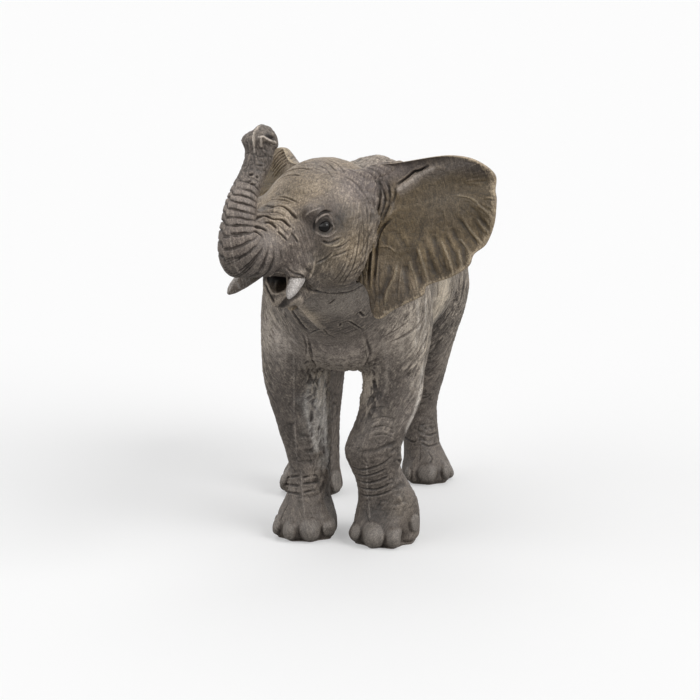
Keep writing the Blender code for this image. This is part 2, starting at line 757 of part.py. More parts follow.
def shell_faces(rows, across):
    """Faces of a closed shell whose front and back are two equal grids of points."""
    size = rows * across
    faces = []
    for i in range(rows - 1):
        for j in range(across - 1):
            a, b = i * across + j, i * across + j + 1
            c, d = b + across, a + across
            faces.append((a, b, c, d))
            faces.append((size + d, size + c, size + b, size + a))
    edge = [i * across for i in range(rows)]
    edge += [(rows - 1) * across + j for j in range(1, across)]
    edge += [i * across + across - 1 for i in range(rows - 2, -1, -1)]
    edge += [j for j in range(across - 2, 0, -1)]
    for a, b in zip(edge, edge[1:] + edge[:1]):
        faces.append((a, b, size + b, size + a))
    return faces


def ear_form(name, hand, sweep, twist):
    """Spread ear as a cupped shell with a wavy rim, and with the tab that plugs into the head."""
    rim = smooth_rows(EAR_RIM_SHARES, EAR_RIM_POINTS)
    fronts = []
    backs = []
    for i, (out, up) in enumerate(rim):
        turn = i / (len(rim) - 1)
        root_up = EAR_ROOT_TOP_SHARE + (EAR_ROOT_FOOT_SHARE - EAR_ROOT_TOP_SHARE) * turn
        for j in range(EAR_RIBS):
            share = j / (EAR_RIBS - 1)
            sideways = EAR_WIDTH * out * share - EAR_TAB * (1 - share) ** 4
            upwards = EAR_HEIGHT * (root_up + (up - root_up) * share)
            cup = -EAR_CUP * math.sin(math.pi * share * 0.85) * math.sin(math.pi * min(1, 0.15 + turn))
            fade = share ** 3 * math.sin(math.pi * turn)
            wave = EAR_WAVE * math.sin(turn * math.pi * EAR_WAVES) * fade
            half = (EAR_ROOT_THICKNESS + (EAR_RIM_THICKNESS - EAR_ROOT_THICKNESS) * share) / 2
            turned = sweep + twist * upwards / EAR_HEIGHT
            lateral = Vector((hand * math.cos(turned), math.sin(turned), 0))
            facing = Vector((hand * math.sin(turned), -math.cos(turned), 0))
            back = HEAD_LENGTH * EAR_ROOT_BACK_SHARE - upwards * EAR_ROOT_LEAN_SHARE
            root = Vector((hand * HEAD_WIDTH * EAR_ROOT_SIDE_SHARE, -back, 0))
            spot = root + lateral * sideways + Vector((0, 0, upwards)) + facing * (cup + wave)
            fronts.append(spot + facing * half)
            backs.append(spot - facing * half)
    points = [HEAD_CENTRE + HEAD_AXES @ spot for spot in fronts + backs]
    return mesh_object(name, points, shell_faces(len(rim), EAR_RIBS))


def tusk_form(name, seat, aim_shares):
    """Short tapering tusk that points forwards, outwards and down from its lip."""
    side, forward, up = seat
    base = head_point(HEAD_WIDTH * side, HEAD_LENGTH * forward, HEAD_HEIGHT * up)
    out, ahead, rise = aim_shares
    aim = (HEAD_AXES @ Vector((out, -ahead, rise))).normalized()
    upward = HEAD_SIDE.cross(aim).normalized()
    stations = []
    for along, half, bow in smooth_rows(TUSK_SHARES, 7):
        reach = -TUSK_PLUG + (TUSK_LENGTH + TUSK_PLUG) * along
        centre = base + aim * reach + upward * (TUSK_LENGTH * bow)
        stations.append((centre, TUSK_WIDTH * half, TUSK_WIDTH * half, TUSK_WIDTH * half))
    return swept(name, stations, HEAD_SIDE, SMALL_RING_POINTS)


def tail_form():
    """Thin tail that hangs behind the rump to its tuft."""
    rump = Vector((0, RUMP_Y, BELLY_HEIGHT + BODY_DEPTH * 0.66))
    stations = []
    for along, sway, half_width, half_depth in smooth_rows(TAIL_SHARES, 16):
        back = TAIL_PLUG * (min(along, 0.30) * 6.5 - 1.0)
        centre = rump + Vector((TAIL_LENGTH * sway, back, TAIL_PLUG * 0.3 - TAIL_LENGTH * along))
        half = TAIL_WIDTH * half_depth
        stations.append((centre, TAIL_WIDTH * half_width, half, half))
    return swept("tail", stations, BODY_SIDE, SMALL_RING_POINTS)


def open_mouth(head):
    """Hollow of the open mouth between the trunk and the lower lip."""
    centre = head_point(0, HEAD_LENGTH * 0.37, -HEAD_HEIGHT * 0.37)
    size = (MOUTH_WIDTH / 2, MOUTH_DEPTH / 2, MOUTH_HEIGHT / 2)
    combined(head, "DIFFERENCE", ball("mouth_cut", centre, size, HEAD_TURN))


def plugged_shape(piece, socketed):
    """Cut the socket of a piece that plugs in with its own end."""
    combined(socketed, "DIFFERENCE", grown(piece, SEAM_CLEARANCE))


def tidy(piece):
    """Merge slivers left by the cuts and turn every face outwards."""
    shape = bmesh.new()
    shape.from_mesh(piece.data)
    bmesh.ops.remove_doubles(shape, verts=shape.verts, dist=SEAM_CLEARANCE / 10)
    bmesh.ops.dissolve_degenerate(shape, edges=shape.edges, dist=SEAM_CLEARANCE / 20)
    bmesh.ops.triangulate(shape, faces=shape.faces[:])
    bmesh.ops.recalc_face_normals(shape, faces=shape.faces)
    shape.to_mesh(piece.data)
    shape.free()
    piece.data.shade_smooth()
    piece.data.set_sharp_from_angle(angle=math.radians(50))


def centred(pieces):
    """Move the whole figure so that the middle of its bounding box stands over the origin."""
    spots = [vertex.co for piece in pieces for vertex in piece.data.vertices]
    for axis in (0, 1):
        low = min(spot[axis] for spot in spots)
        high = max(spot[axis] for spot in spots)
        for spot in spots:
            spot[axis] -= (low + high) / 2


def plastic(name, colour, roughness):
    """Painted soft plastic of one colour, given as linear red, green and blue."""
    material = bpy.data.materials.new(name)
    material.use_nodes = True
    shader = material.node_tree.nodes["Principled BSDF"]
    shader.inputs["Base Color"].default_value = (*colour, 1)
    shader.inputs["Roughness"].default_value = roughness
    shader.inputs["Metallic"].default_value = 0
    return material


def build():
    """Build every moulding, seat each in its neighbour and paint it."""
    pieces = cut_mouldings(animal_skin())
    head = pieces["head"]
    open_mouth(head)
    pieces["left_ear"] = ear_form("left_ear", 1, LEFT_EAR_SWEEP, LEFT_EAR_TWIST)
    pieces["right_ear"] = ear_form("right_ear", -1, RIGHT_EAR_SWEEP, RIGHT_EAR_TWIST)
    pieces["left_tusk"] = tusk_form("left_tusk", LEFT_TUSK_SEAT_SHARES, LEFT_TUSK_AIM_SHARES)
    pieces["right_tusk"] = tusk_form("right_tusk", RIGHT_TUSK_SEAT_SHARES, RIGHT_TUSK_AIM_SHARES)
    for name in ("left_ear", "right_ear", "left_tusk", "right_tusk"):
        plugged_shape(pieces[name], head)
    pieces["tail"] = tail_form()
    plugged_shape(pieces["tail"], pieces["torso"])
    grey = plastic("painted_grey_skin", (0.105, 0.085, 0.07), 0.6)
    brown = plastic("painted_brown_ear", (0.10, 0.075, 0.055), 0.62)
    white = plastic("painted_tusk", (0.47, 0.44, 0.42), 0.45)
    for name, piece in pieces.items():
        tidy(piece)
        finish = white if "tusk" in name else brown if "ear" in name and "fore" not in name else grey
        piece.data.materials.clear()
        piece.data.materials.append(finish)
        print(name, len(piece.data.polygons))
    centred(pieces.values())


build()
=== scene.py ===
# %% [markdown]
# # Toy elephant calf: the looks
# The figure is moulded in soft PVC and painted by hand. Its solids come packed as a fixed frame. This
# script dresses them: it blends the glued mouldings into one hide, carves the wrinkles into the hide,
# cuts it back into its mouldings along hairline seams, and paints every piece.

# %% Frame
import itertools
import math

import bmesh
import bpy
import numpy as np
from mathutils import Matrix, Vector
from mathutils.kdtree import KDTree


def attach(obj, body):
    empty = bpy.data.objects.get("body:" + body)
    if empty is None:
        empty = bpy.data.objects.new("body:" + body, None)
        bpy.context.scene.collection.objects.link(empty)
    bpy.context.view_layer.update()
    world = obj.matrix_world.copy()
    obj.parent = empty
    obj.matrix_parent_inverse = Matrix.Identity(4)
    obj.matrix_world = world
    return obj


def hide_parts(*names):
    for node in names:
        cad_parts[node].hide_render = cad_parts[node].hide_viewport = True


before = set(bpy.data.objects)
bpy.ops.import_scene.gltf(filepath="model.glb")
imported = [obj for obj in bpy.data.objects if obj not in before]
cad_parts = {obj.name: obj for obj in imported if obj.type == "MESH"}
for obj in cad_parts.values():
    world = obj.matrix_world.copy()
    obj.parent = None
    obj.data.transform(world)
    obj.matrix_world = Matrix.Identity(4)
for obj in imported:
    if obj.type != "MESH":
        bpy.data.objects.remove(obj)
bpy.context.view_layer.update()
MM = 0.001
print("frame nodes:", sorted(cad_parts))

# %% [markdown]
# ## Colours
# Paint colours are noted as they look on a screen, as sRGB hex. Blender's shaders work in linear light,
# so one function turns them.


# %% Colour helper
def linear(code):
    """Linear red, green and blue of an sRGB hex colour."""
    shares = [int(code[i:i + 2], 16) / 255 for i in (1, 3, 5)]
    return np.array([s / 12.92 if s <= 0.04045 else ((s + 0.055) / 1.055) ** 2.4 for s in shares])


GREY_SKIN = linear("#685f57")
TAN_SKIN = linear("#95846e")
EAR_BROWN = linear("#584931")
EAR_RIM = linear("#564d46")
EAR_LOW = linear("#4f412e")
FLANK = linear("#857a6d")
NAIL_GREY = linear("#777069")
# painted shade for the grooves round the toenails
NAIL_GAP_SHADE = linear("#332d29")
# painted shade inside the shallow mouth, near-black at its top
MOUTH_SHADE = linear("#15110e")
MOUTH_BROWN = linear("#54493d")
TUSK_WHITE = linear("#b3ada8")
TUSK_GREY = linear("#6f655b")
print("grey skin, linear:", GREY_SKIN.round(3))

# %% [markdown]
# ## Text tables
# Places that a sculptor would mark on the photo, and outlines, are kept as short texts. A word such as
# 12,7.5 is one place. A row has its values and then its path of places, and ends at a semicolon or at
# the end of the line.


# %% Table helpers
def track(text):
    """Places in a text."""
    return [tuple(float(value) for value in word.split(",")) for word in text.split() if "," in word]


def listed(text):
    """Rows of a text table, each its path and then its values; a line that ends in a colon is a heading."""
    rows = []
    for line in text.replace(";", "\n").splitlines():
        if line.strip() and not line.endswith(":"):
            values = [word if word[0] == "#" else float(word) for word in line.split() if "," not in word]
            rows.append((track(line), *values))
    return rows


# %% [markdown]
# ## Camera
# The photo was taken from a little above and a little to the animal's left, with a long lens. The same
# view is set by an azimuth, an elevation, a distance and a point to look at.


# %% Camera
def placed(name, data):
    """New object in the scene."""
    piece = bpy.data.objects.new(name, data)
    bpy.context.scene.collection.objects.link(piece)
    return piece


LOOK_AT = np.array([-5.31, -6.0, 34.0])
AZIMUTH, ELEVATION = math.radians(8.0), math.radians(13.0)
DISTANCE = 520.0
IMAGE_PIXELS = 700
PIXELS_PER_MM = 5.8
SENSOR_MM = 36.0

back = np.array([math.sin(AZIMUTH) * math.cos(ELEVATION), -math.cos(AZIMUTH) * math.cos(ELEVATION),
                 math.sin(ELEVATION)])
right = np.array([math.cos(AZIMUTH), math.sin(AZIMUTH), 0.0])
up = np.cross(back, right)
lens_place = LOOK_AT + back * DISTANCE
focal_pixels = PIXELS_PER_MM * DISTANCE

camera = placed("camera", bpy.data.cameras.new("camera"))
camera.data.sensor_width = SENSOR_MM
camera.data.lens = SENSOR_MM * focal_pixels / IMAGE_PIXELS
camera.data.clip_start = 0.01
camera.matrix_world = Matrix.Translation(Vector(lens_place * MM)) @ Matrix(
    ((right[0], up[0], back[0]), (right[1], up[1], back[1]), (right[2], up[2], back[2]))).to_4x4()
bpy.context.scene.camera = camera
print("lens", round(camera.data.lens, 1), "mm")

# %% [markdown]
# ## Floor and light
# The figure stands on a white table in soft studio light. The floor shows nearly white to the camera
# but keeps the figure's soft shadow. Wide lamps far away stand for the soft boxes.


# %% Node helpers
def add_node(tree, kind, links=None, **settings):
    """Add a node, set its properties and input values, and link its inputs."""
    node = tree.nodes.new(kind)
    for key, value in settings.items():
        if hasattr(node, key):
            setattr(node, key, value)
        else:
            node.inputs[key.replace("_", " ")].default_value = value
    for key, source in (links or {}).items():
        tree.links.new(source, node.inputs[key])
    return node


def fed(tree, node, inputs):
    """Link sockets to inputs of a node, or set the inputs where they are plain values."""
    for key, value in inputs.items():
        if isinstance(value, bpy.types.NodeSocket):
            tree.links.new(value, node.inputs[key])
        else:
            node.inputs[key].default_value = value
    return node


def number(tree, operation, *values):
    """Math node on sockets or plain numbers."""
    node = add_node(tree, "ShaderNodeMath", operation=operation)
    return fed(tree, node, dict(enumerate(values))).outputs[0]


def mixed_colour(tree, factor, first, second, **settings):
    """Mix of two colours, each a socket or red, green, blue and alpha."""
    node = add_node(tree, "ShaderNodeMix", {"Factor": factor}, data_type="RGBA", **settings)
    return fed(tree, node, {6: first, 7: second}).outputs[2]


def empty_tree(owner):
    """Node tree of a material or world, without nodes."""
    owner.use_nodes = True
    owner.node_tree.nodes.clear()
    return owner.node_tree


# %% Floor
FLOOR_HALF = 3000.0
floor_mesh = bpy.data.meshes.new("floor")
corners = [(-1, -1), (1, -1), (1, 1), (-1, 1)]
floor_mesh.from_pydata([(x * FLOOR_HALF * MM, y * FLOOR_HALF * MM, -0.02 * MM) for x, y in corners], [],
                       [(0, 1, 2, 3)])
floor = placed("floor", floor_mesh)
floor_paint = bpy.data.materials.new("white_table")
tree = empty_tree(floor_paint)
to_camera = add_node(tree, "ShaderNodeLightPath").outputs["Is Camera Ray"]
tone = mixed_colour(tree, to_camera, (0.38, 0.38, 0.38, 1), (0.79, 0.79, 0.79, 1))
matt = add_node(tree, "ShaderNodeBsdfDiffuse", {"Color": tone})
bright = add_node(tree, "ShaderNodeEmission", Color=(1, 1, 1, 1), Strength=1.45)
mixed = add_node(tree, "ShaderNodeMixShader",
                 {0: number(tree, "MULTIPLY", to_camera, 0.22), 1: matt.outputs[0], 2: bright.outputs[0]})
add_node(tree, "ShaderNodeOutputMaterial", {"Surface": mixed.outputs[0]})
floor_mesh.materials.append(floor_paint)

# %% World and lamps
world = bpy.data.worlds.new("studio")
bpy.context.scene.world = world
tree = empty_tree(world)
rays = add_node(tree, "ShaderNodeLightPath").outputs
shown = number(tree, "MAXIMUM", rays["Is Camera Ray"], rays["Is Glossy Ray"])
shown = number(tree, "MAXIMUM", shown, rays["Is Transmission Ray"])
ambient = add_node(tree, "ShaderNodeBackground", Color=(1, 1, 1, 1), Strength=0.36)
white = add_node(tree, "ShaderNodeBackground", Color=(1, 1, 1, 1), Strength=1.0)
mixed = add_node(tree, "ShaderNodeMixShader", {0: shown, 1: ambient.outputs[0], 2: white.outputs[0]})
add_node(tree, "ShaderNodeOutputWorld", {"Surface": mixed.outputs[0]})

LAMPS = (
    # name, direction it shines from, strength in W/m2, how wide it looks in degrees
    ("key_soft_box", (0.75, -0.42, 0.62), 1.75, 40),
    ("top_soft_box", (-0.10, 0.30, 0.95), 0.85, 60),
    ("left_fill", (-0.75, -0.50, 0.45), 0.85, 60),
)
for name, direction, strength, width in LAMPS:
    lamp = placed(name, bpy.data.lights.new(name, "SUN"))
    lamp.data.angle = math.radians(width)
    lamp.data.energy = strength
    lamp.rotation_euler = Vector(direction).to_track_quat("Z", "Y").to_euler()
bpy.context.scene.view_settings.view_transform = "Standard"

# %% [markdown]
# ## Measuring helpers
# Shapes are worked on as tables of points in millimetres, which numpy handles all at once.


# %% Mesh helpers
def points_of(piece):
    """Vertices of a piece in mm."""
    table = np.empty(len(piece.data.vertices) * 3)
    piece.data.vertices.foreach_get("co", table)
    return table.reshape(-1, 3) / MM


def normals_of(piece):
    """Vertex normals of a piece."""
    table = np.empty(len(piece.data.vertices) * 3)
    piece.data.vertices.foreach_get("normal", table)
    return table.reshape(-1, 3)


def set_points(piece, table):
    """Put the vertices of a piece at a table of points in mm."""
    piece.data.vertices.foreach_set("co", (table * MM).ravel())
    piece.data.update()


def new_piece(name, table, faces):
    """Closed mesh from points in mm and faces, with its faces turned outwards."""
    mesh = bpy.data.meshes.new(name)
    mesh.from_pydata([tuple(v) for v in np.asarray(table) * MM], [], faces)
    shape = bmesh.new()
    shape.from_mesh(mesh)
    bmesh.ops.recalc_face_normals(shape, faces=shape.faces)
    shape.to_mesh(mesh)
    shape.free()
    return placed(name, mesh)


def applied(piece, *modifiers):
    """Apply modifiers, given as (type, settings), to a piece."""
    for kind, settings in modifiers:
        modifier = piece.modifiers.new(kind.title(), kind)
        for key, value in settings.items():
            setattr(modifier, key, value)
    graph = bpy.context.evaluated_depsgraph_get()
    mesh = bpy.data.meshes.new_from_object(piece.evaluated_get(graph))
    piece.modifiers.clear()
    piece.data = mesh
    return piece


def smooth_rows(rows, count):
    """Catmull-Rom curve through a table of rows, sampled at count even steps."""
    table = np.array(rows, dtype=float)
    padded = np.vstack((2 * table[0] - table[1], table, 2 * table[-1] - table[-2]))
    steps = np.linspace(0, len(table) - 1, count)
    first = np.minimum(steps.astype(int), len(table) - 2)
    t = (steps - first)[:, None]
    a, b, c, d = (padded[first + k] for k in range(4))
    return 0.5 * (2 * b + (c - a) * t + (2 * a - 5 * b + 4 * c - d) * t ** 2
                  + (3 * b - a - 3 * c + d) * t ** 3)


# %% [markdown]
# ## One hide from the glued mouldings
# A painted figure hides most of its seams: putty and paint fill them. So the mouldings of body, head
# and legs are first swollen until they touch, and a voxel remesh melts them into one even skin of
# small quads, fine enough to carve. The head gets smaller quads than the body, because the eye looks
# there first.

# %% Hide
SKIN_NODES = ("torso", "head", "left_foreleg", "right_foreleg", "left_hind_leg", "right_hind_leg")
SWELL = 0.17
BODY_VOXEL = 0.22
HEAD_VOXEL = 0.156
HEAD_CUT_Y = -12.0

# %% [markdown]
# The solids leave out the small swellings of the face. They are laid on as rolls of clay before the
# remesh: soft rolls that its smoothing melts, and firm rolls that stay crisp. A roll is a path of
# places in the photo, each with its depth behind the middle plane and its radius in mm.

# %% Clay
MIDDLE_DEPTH = 480.0
# The temple that runs into the ear, and the corners of the trunk's end
SOFT_ROLLS = listed("""
    344,172,2.9,1.5 354,175.5,3.1,1.6 365,176,3.2,1.7 376,173.4,3.2,1.75 388,169.6,3.2,1.6 400,167,3.2,1.3
    350,184,2.3,1.6 360,186,2.6,1.6 370,187,3,1.6 378,188,3.5,1.4
    358,196,2.3,1.6 366,198,2.7,1.6 374,201,3.2,1.4
    364,209,2.5,1.5 371,214,2.9,1.5 375,222,3.3,1.3
    370,224,3,1.3 372,234,3.2,1.2 371,246,3.4,1.1
    271.5,129,-3.7,1.35 271.5,135,-3.7,1.35 269,142,-3.6,1.35 267.5,150,-3.6,1.3 \
        266.5,158,-3.4,1.3 264,168,-3.2,1.2
    247,133,-3,1.1 248,139,-3,1
""")
# The lip that hangs over the near tusk, the lower lip, the chin, the palate and the corner of the mouth
FIRM_ROLLS = listed("""
    286,269,-1.5,0.8 292,272.5,-2,0.9 299,273.5,-2.2,0.95 305,272,-1.6,0.9
    289,265,-1.6,0.95 298,266.5,-1.9,1 306,266,-1.5,0.95
    289,276,-0.6,0.6 289,284,0.6,0.55 288,291,1.6,0.6
    265,279,1.4,0.5 266.5,286,1.6,0.55 271,292,1.7,0.6 279,294,1.7,0.6 288,292,1.7,0.55
    268,289,2.2,0.65 271,297,2.3,0.65 275,304,2.5,0.55
    275,295,2.4,0.9 276,301,2.6,0.7
    271,278,6.2,1.5 271,288,6.2,1.5
    306,273,-1.5,0.8 309,276.5,-1,0.8 311,281,0,0.8
    310,271,-1.2,0.85 314,274.5,-0.6,0.85 316,279,0.4,0.85 314,285,1.6,0.9
""")


def swollen_skin(name):
    """All skin mouldings, swollen until their seams close, in one object."""
    shape = bmesh.new()
    for node in SKIN_NODES:
        part = bmesh.new()
        part.from_mesh(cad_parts[node].data)
        bmesh.ops.remove_doubles(part, verts=part.verts, dist=0.002 * MM)
        part.normal_update()
        moves = [vertex.normal * min(vertex.calc_shell_factor(), 1.5) * SWELL * MM for vertex in part.verts]
        for vertex, move in zip(part.verts, moves):
            vertex.co += move
        mesh = bpy.data.meshes.new("swollen")
        part.to_mesh(mesh)
        part.free()
        shape.from_mesh(mesh)
    mesh = bpy.data.meshes.new(name)
    shape.to_mesh(mesh)
    shape.free()
    return placed(name, mesh)


def front_of(piece, cut_y):
    """Keep what lies in front of a plane across the body, and close the cut."""
    shape = bmesh.new()
    shape.from_mesh(piece.data)
    bmesh.ops.bisect_plane(shape, geom=shape.verts[:] + shape.edges[:] + shape.faces[:],
                           plane_co=(0, cut_y * MM, 0), plane_no=(0, 1, 0), clear_outer=True)
    bmesh.ops.holes_fill(shape, edges=[e for e in shape.edges if e.is_boundary], sides=0)
    shape.to_mesh(piece.data)
    shape.free()


def sight(x, y):
    """Direction in which the camera sees a pixel."""
    ray = -back * focal_pixels + right * (x - IMAGE_PIXELS / 2) + up * (IMAGE_PIXELS / 2 - y)
    return ray / np.linalg.norm(ray)


def met(piece, start, way):
    """Place where a ray meets a piece, in mm, and the normal there, or two times None."""
    hit, place, normal, _ = piece.ray_cast(Vector(start * MM), Vector(way))
    return (np.array(place) / MM, normal) if hit else (None, None)


def with_clay(piece, rolls):
    """Lay rolls of clay on a piece."""
    shape = bmesh.new()
    for (roll,) in rolls:
        for x, y, depth, radius in smooth_rows(roll, 7 * len(roll)):
            ray = sight(x, y)
            place = lens_place + ray * (MIDDLE_DEPTH + depth) / -(ray @ back)
            bmesh.ops.create_icosphere(shape, subdivisions=2, radius=radius * MM,
                                       matrix=Matrix.Translation(Vector(place) * MM))
    clay = bpy.data.meshes.new("clay")
    shape.to_mesh(clay)
    shape.clear()
    shape.from_mesh(piece.data)
    shape.from_mesh(clay)
    shape.to_mesh(piece.data)
    shape.free()


def blended(name, voxel, cut_y=None, soft_rolls=(), firm_rolls=()):
    """Even skin of small quads over all mouldings, shrunk back to their size."""
    piece = swollen_skin(name)
    with_clay(piece, soft_rolls)
    applied(piece, ("REMESH", {"mode": "VOXEL", "voxel_size": 0.30 * MM}),
            ("SMOOTH", {"factor": 0.5, "iterations": 14}))
    if cut_y is not None:
        front_of(piece, cut_y)
    with_clay(piece, firm_rolls)
    applied(piece, ("REMESH", {"mode": "VOXEL", "voxel_size": voxel * MM}),
            ("SMOOTH", {"factor": 0.5, "iterations": 4}))
    set_points(piece, points_of(piece) - normals_of(piece) * (SWELL - 0.06))
    print(name, len(piece.data.vertices), "points")
    return piece


body_skin = blended("body_skin", BODY_VOXEL)
head_skin = blended("head_skin", HEAD_VOXEL, HEAD_CUT_Y, SOFT_ROLLS, FIRM_ROLLS)

# %% [markdown]
# ## Noise
# Every organic pattern grows from smooth noise of a known lump size. A crease is drawn where the noise
# crosses zero, so creases meander and meet as they do in hide.


# %% Noise helpers
SLOPES = np.array([(1, 1, 0), (-1, 1, 0), (1, -1, 0), (-1, -1, 0), (1, 0, 1), (-1, 0, 1), (1, 0, -1),
                   (-1, 0, -1), (0, 1, 1), (0, -1, 1), (0, 1, -1), (0, -1, -1)], dtype=float)


def noise(table, size, seed=0):
    """Smooth noise from about -1 to 1 whose lumps measure size mm."""
    spots = np.asarray(table) / size + seed * 7.31
    cells = np.floor(spots).astype(np.int64)
    inner = spots - cells
    ease = inner ** 3 * (inner * (inner * 6 - 15) + 10)
    total = np.zeros(len(spots))
    for corner in itertools.product((0, 1), repeat=3):
        x, y, z = (cells + np.array(corner)).T
        bits = (x * 73856093) ^ (y * 19349663) ^ (z * 83492791) ^ (seed * 2654435)
        bits = ((bits ^ (bits >> 13)) * 1274126177) & 0x7FFFFFFF
        bits = ((bits ^ (bits >> 15)) * 73244475) & 0x7FFFFFFF
        weight = np.ones(len(spots))
        for axis in range(3):
            weight = weight * (ease[:, axis] if corner[axis] else 1 - ease[:, axis])
        total += weight * np.sum(SLOPES[(bits >> 7) % 12] * (inner - corner), axis=1)
    return total * 1.6


def creases(table, size, width=0.10, seed=0):
    """Thin meandering lines, 1 in the crease and 0 beside it."""
    return np.exp(-(noise(table, size, seed) / width) ** 2)


def rows_of(u, pitch, sharp, warp=0.0):
    """Parallel grooves along a coordinate in mm, 1 in the groove."""
    return (0.5 + 0.5 * np.cos(2 * np.pi * (u / pitch + warp))) ** sharp


def fade(value, start, end):
    """Smooth step from 0 at start to 1 at end."""
    t = np.clip((value - start) / (end - start), 0, 1)
    return t * t * (3 - 2 * t)


def stretched(across, along, third, width, length):
    """Table of noise places stretched along the wrinkles."""
    return np.stack((across / width, along / length, third / length), axis=1)


# %% [markdown]
# ## Where things are on the head
# The head is turned to the animal's right, so its features are laid out in the head's own axes:
# sideways, forward and up from its middle. The trunk follows a curve in the middle plane.

# %% Head axes
HEAD_CENTRE = np.array([-6.51, -34.0, 60.65])
HEAD_TURN, HEAD_TILT = math.radians(-40.0), math.radians(-5.0)
HEAD_AXES = np.array(Matrix.Rotation(HEAD_TURN, 3, "Z") @ Matrix.Rotation(HEAD_TILT, 3, "Y"))
TRUNK_LINE = track("""
    5.3,-0.7 10,-1 13,-1.7 15.6,-1.1 17,1 16.9,3.2 16,5.6 14.9,7.6 13.5,9.4 12.4,11.6 11.8,13.8
    11.5,15.6 11.3,17 11.3,18.4
""")
EYE = (8.1, 5.6, 1.43)
EYE_RADIUS = 1.08


def head_local(table):
    """Sideways, forward and up of points in the head's axes, in mm."""
    turned = (table - HEAD_CENTRE) @ HEAD_AXES
    return turned[:, 0], -turned[:, 1], turned[:, 2]


def from_head(side, forward, rise):
    """Place in the figure of a point given in the head's axes."""
    return HEAD_CENTRE + HEAD_AXES @ np.array((side, -forward, rise))


def along_trunk(side, forward, rise):
    """Length along the trunk's middle line, distance from it, and the side towards its outer curve."""
    line = smooth_rows(TRUNK_LINE, 120)
    steps = np.linalg.norm(np.diff(line, axis=0), axis=1)
    lengths = np.concatenate(((0,), np.cumsum(steps)))
    tangents = np.gradient(line, axis=0)
    tangents /= np.linalg.norm(tangents, axis=1)[:, None]
    nearest = np.zeros(len(side), dtype=int)
    best = np.full(len(side), 1e9)
    for i, (x, z) in enumerate(line):
        gap = (forward - x) ** 2 + (rise - z) ** 2
        closer = gap < best
        best[closer] = gap[closer]
        nearest[closer] = i
    offset = np.stack((forward, rise), axis=1) - line[nearest]
    length = lengths[nearest] + np.sum(offset * tangents[nearest], axis=1)
    outward = offset[:, 0] * tangents[nearest, 1] - offset[:, 1] * tangents[nearest, 0]
    return length, np.sqrt(best + side ** 2), outward


# %% [markdown]
# ## Strokes
# Some folds are landmarks of this figure: the wrinkles over the nose, the folds by the mouth and the
# grooves at the ankles. Each is drawn as a stroke where the camera sees it, and dropped onto the hide
# along the line of sight, as a sculptor would score it with a tool.


# %% Stroke helpers
def dropped(piece, pixels):
    """Points on a piece under a curve through pixels."""
    found = []
    for pixel in smooth_rows(pixels, 6 * len(pixels)):
        place, _ = met(piece, lens_place, sight(*pixel))
        if place is not None:
            found.append(place)
    return np.array(found)


def near_line(table, line, reach):
    """Rows of a table within reach of a line, their distance to it and how far along it they are."""
    low, high = line.min(0) - reach, line.max(0) + reach
    rows = np.flatnonzero(np.all((table > low) & (table < high), axis=1))
    spots = table[rows]
    best = np.full(len(rows), 1e9)
    share = np.zeros(len(rows))
    for i in range(len(line) - 1):
        a, b = line[i], line[i + 1]
        span = b - a
        if span @ span > 9:
            continue
        t = np.clip((spots - a) @ span / max(span @ span, 1e-9), 0, 1)
        gap = np.linalg.norm(spots - a - t[:, None] * span, axis=1)
        closer = gap < best
        best[closer] = gap[closer]
        share[closer] = (i + t[closer]) / (len(line) - 1)
    return rows, best, share


def scored(table, relief, line, width, depth):
    """Cut a groove along a line into the relief, or raise a ridge where the depth is negative."""
    if len(line) < 2:
        return
    rows, gap, share = near_line(table, line, width * 4)
    ragged = 1 + 0.25 * noise(table[rows], 1.1, 91)
    ends = np.minimum(1, np.sin(np.pi * np.clip(share, 0.03, 0.97)) * 2.2)
    relief[rows] -= ends * ragged * depth * np.exp(-(gap / (width * ragged)) ** 2)
    if depth > 0:
        relief[rows] += ends * 0.36 * depth * np.exp(-((gap - 2.1 * width) / width) ** 2)


# %% [markdown]
# ## Relief of the head and trunk
# The sculptor worked the hide in families of wrinkles: rings round the trunk, arcs over nose and crown,
# long lines down the cheek, and lids round the eye. Each family is a set of grooves along its own
# coordinate, faded in and out where the photo shows it.


# %% Head relief
def combed(table, way, longer):
    """Places squeezed along a direction, so that noise on them is drawn out along it."""
    way = np.array(way) / np.linalg.norm(way)
    return table - (1 - 1 / longer) * (table @ way)[:, None] * way


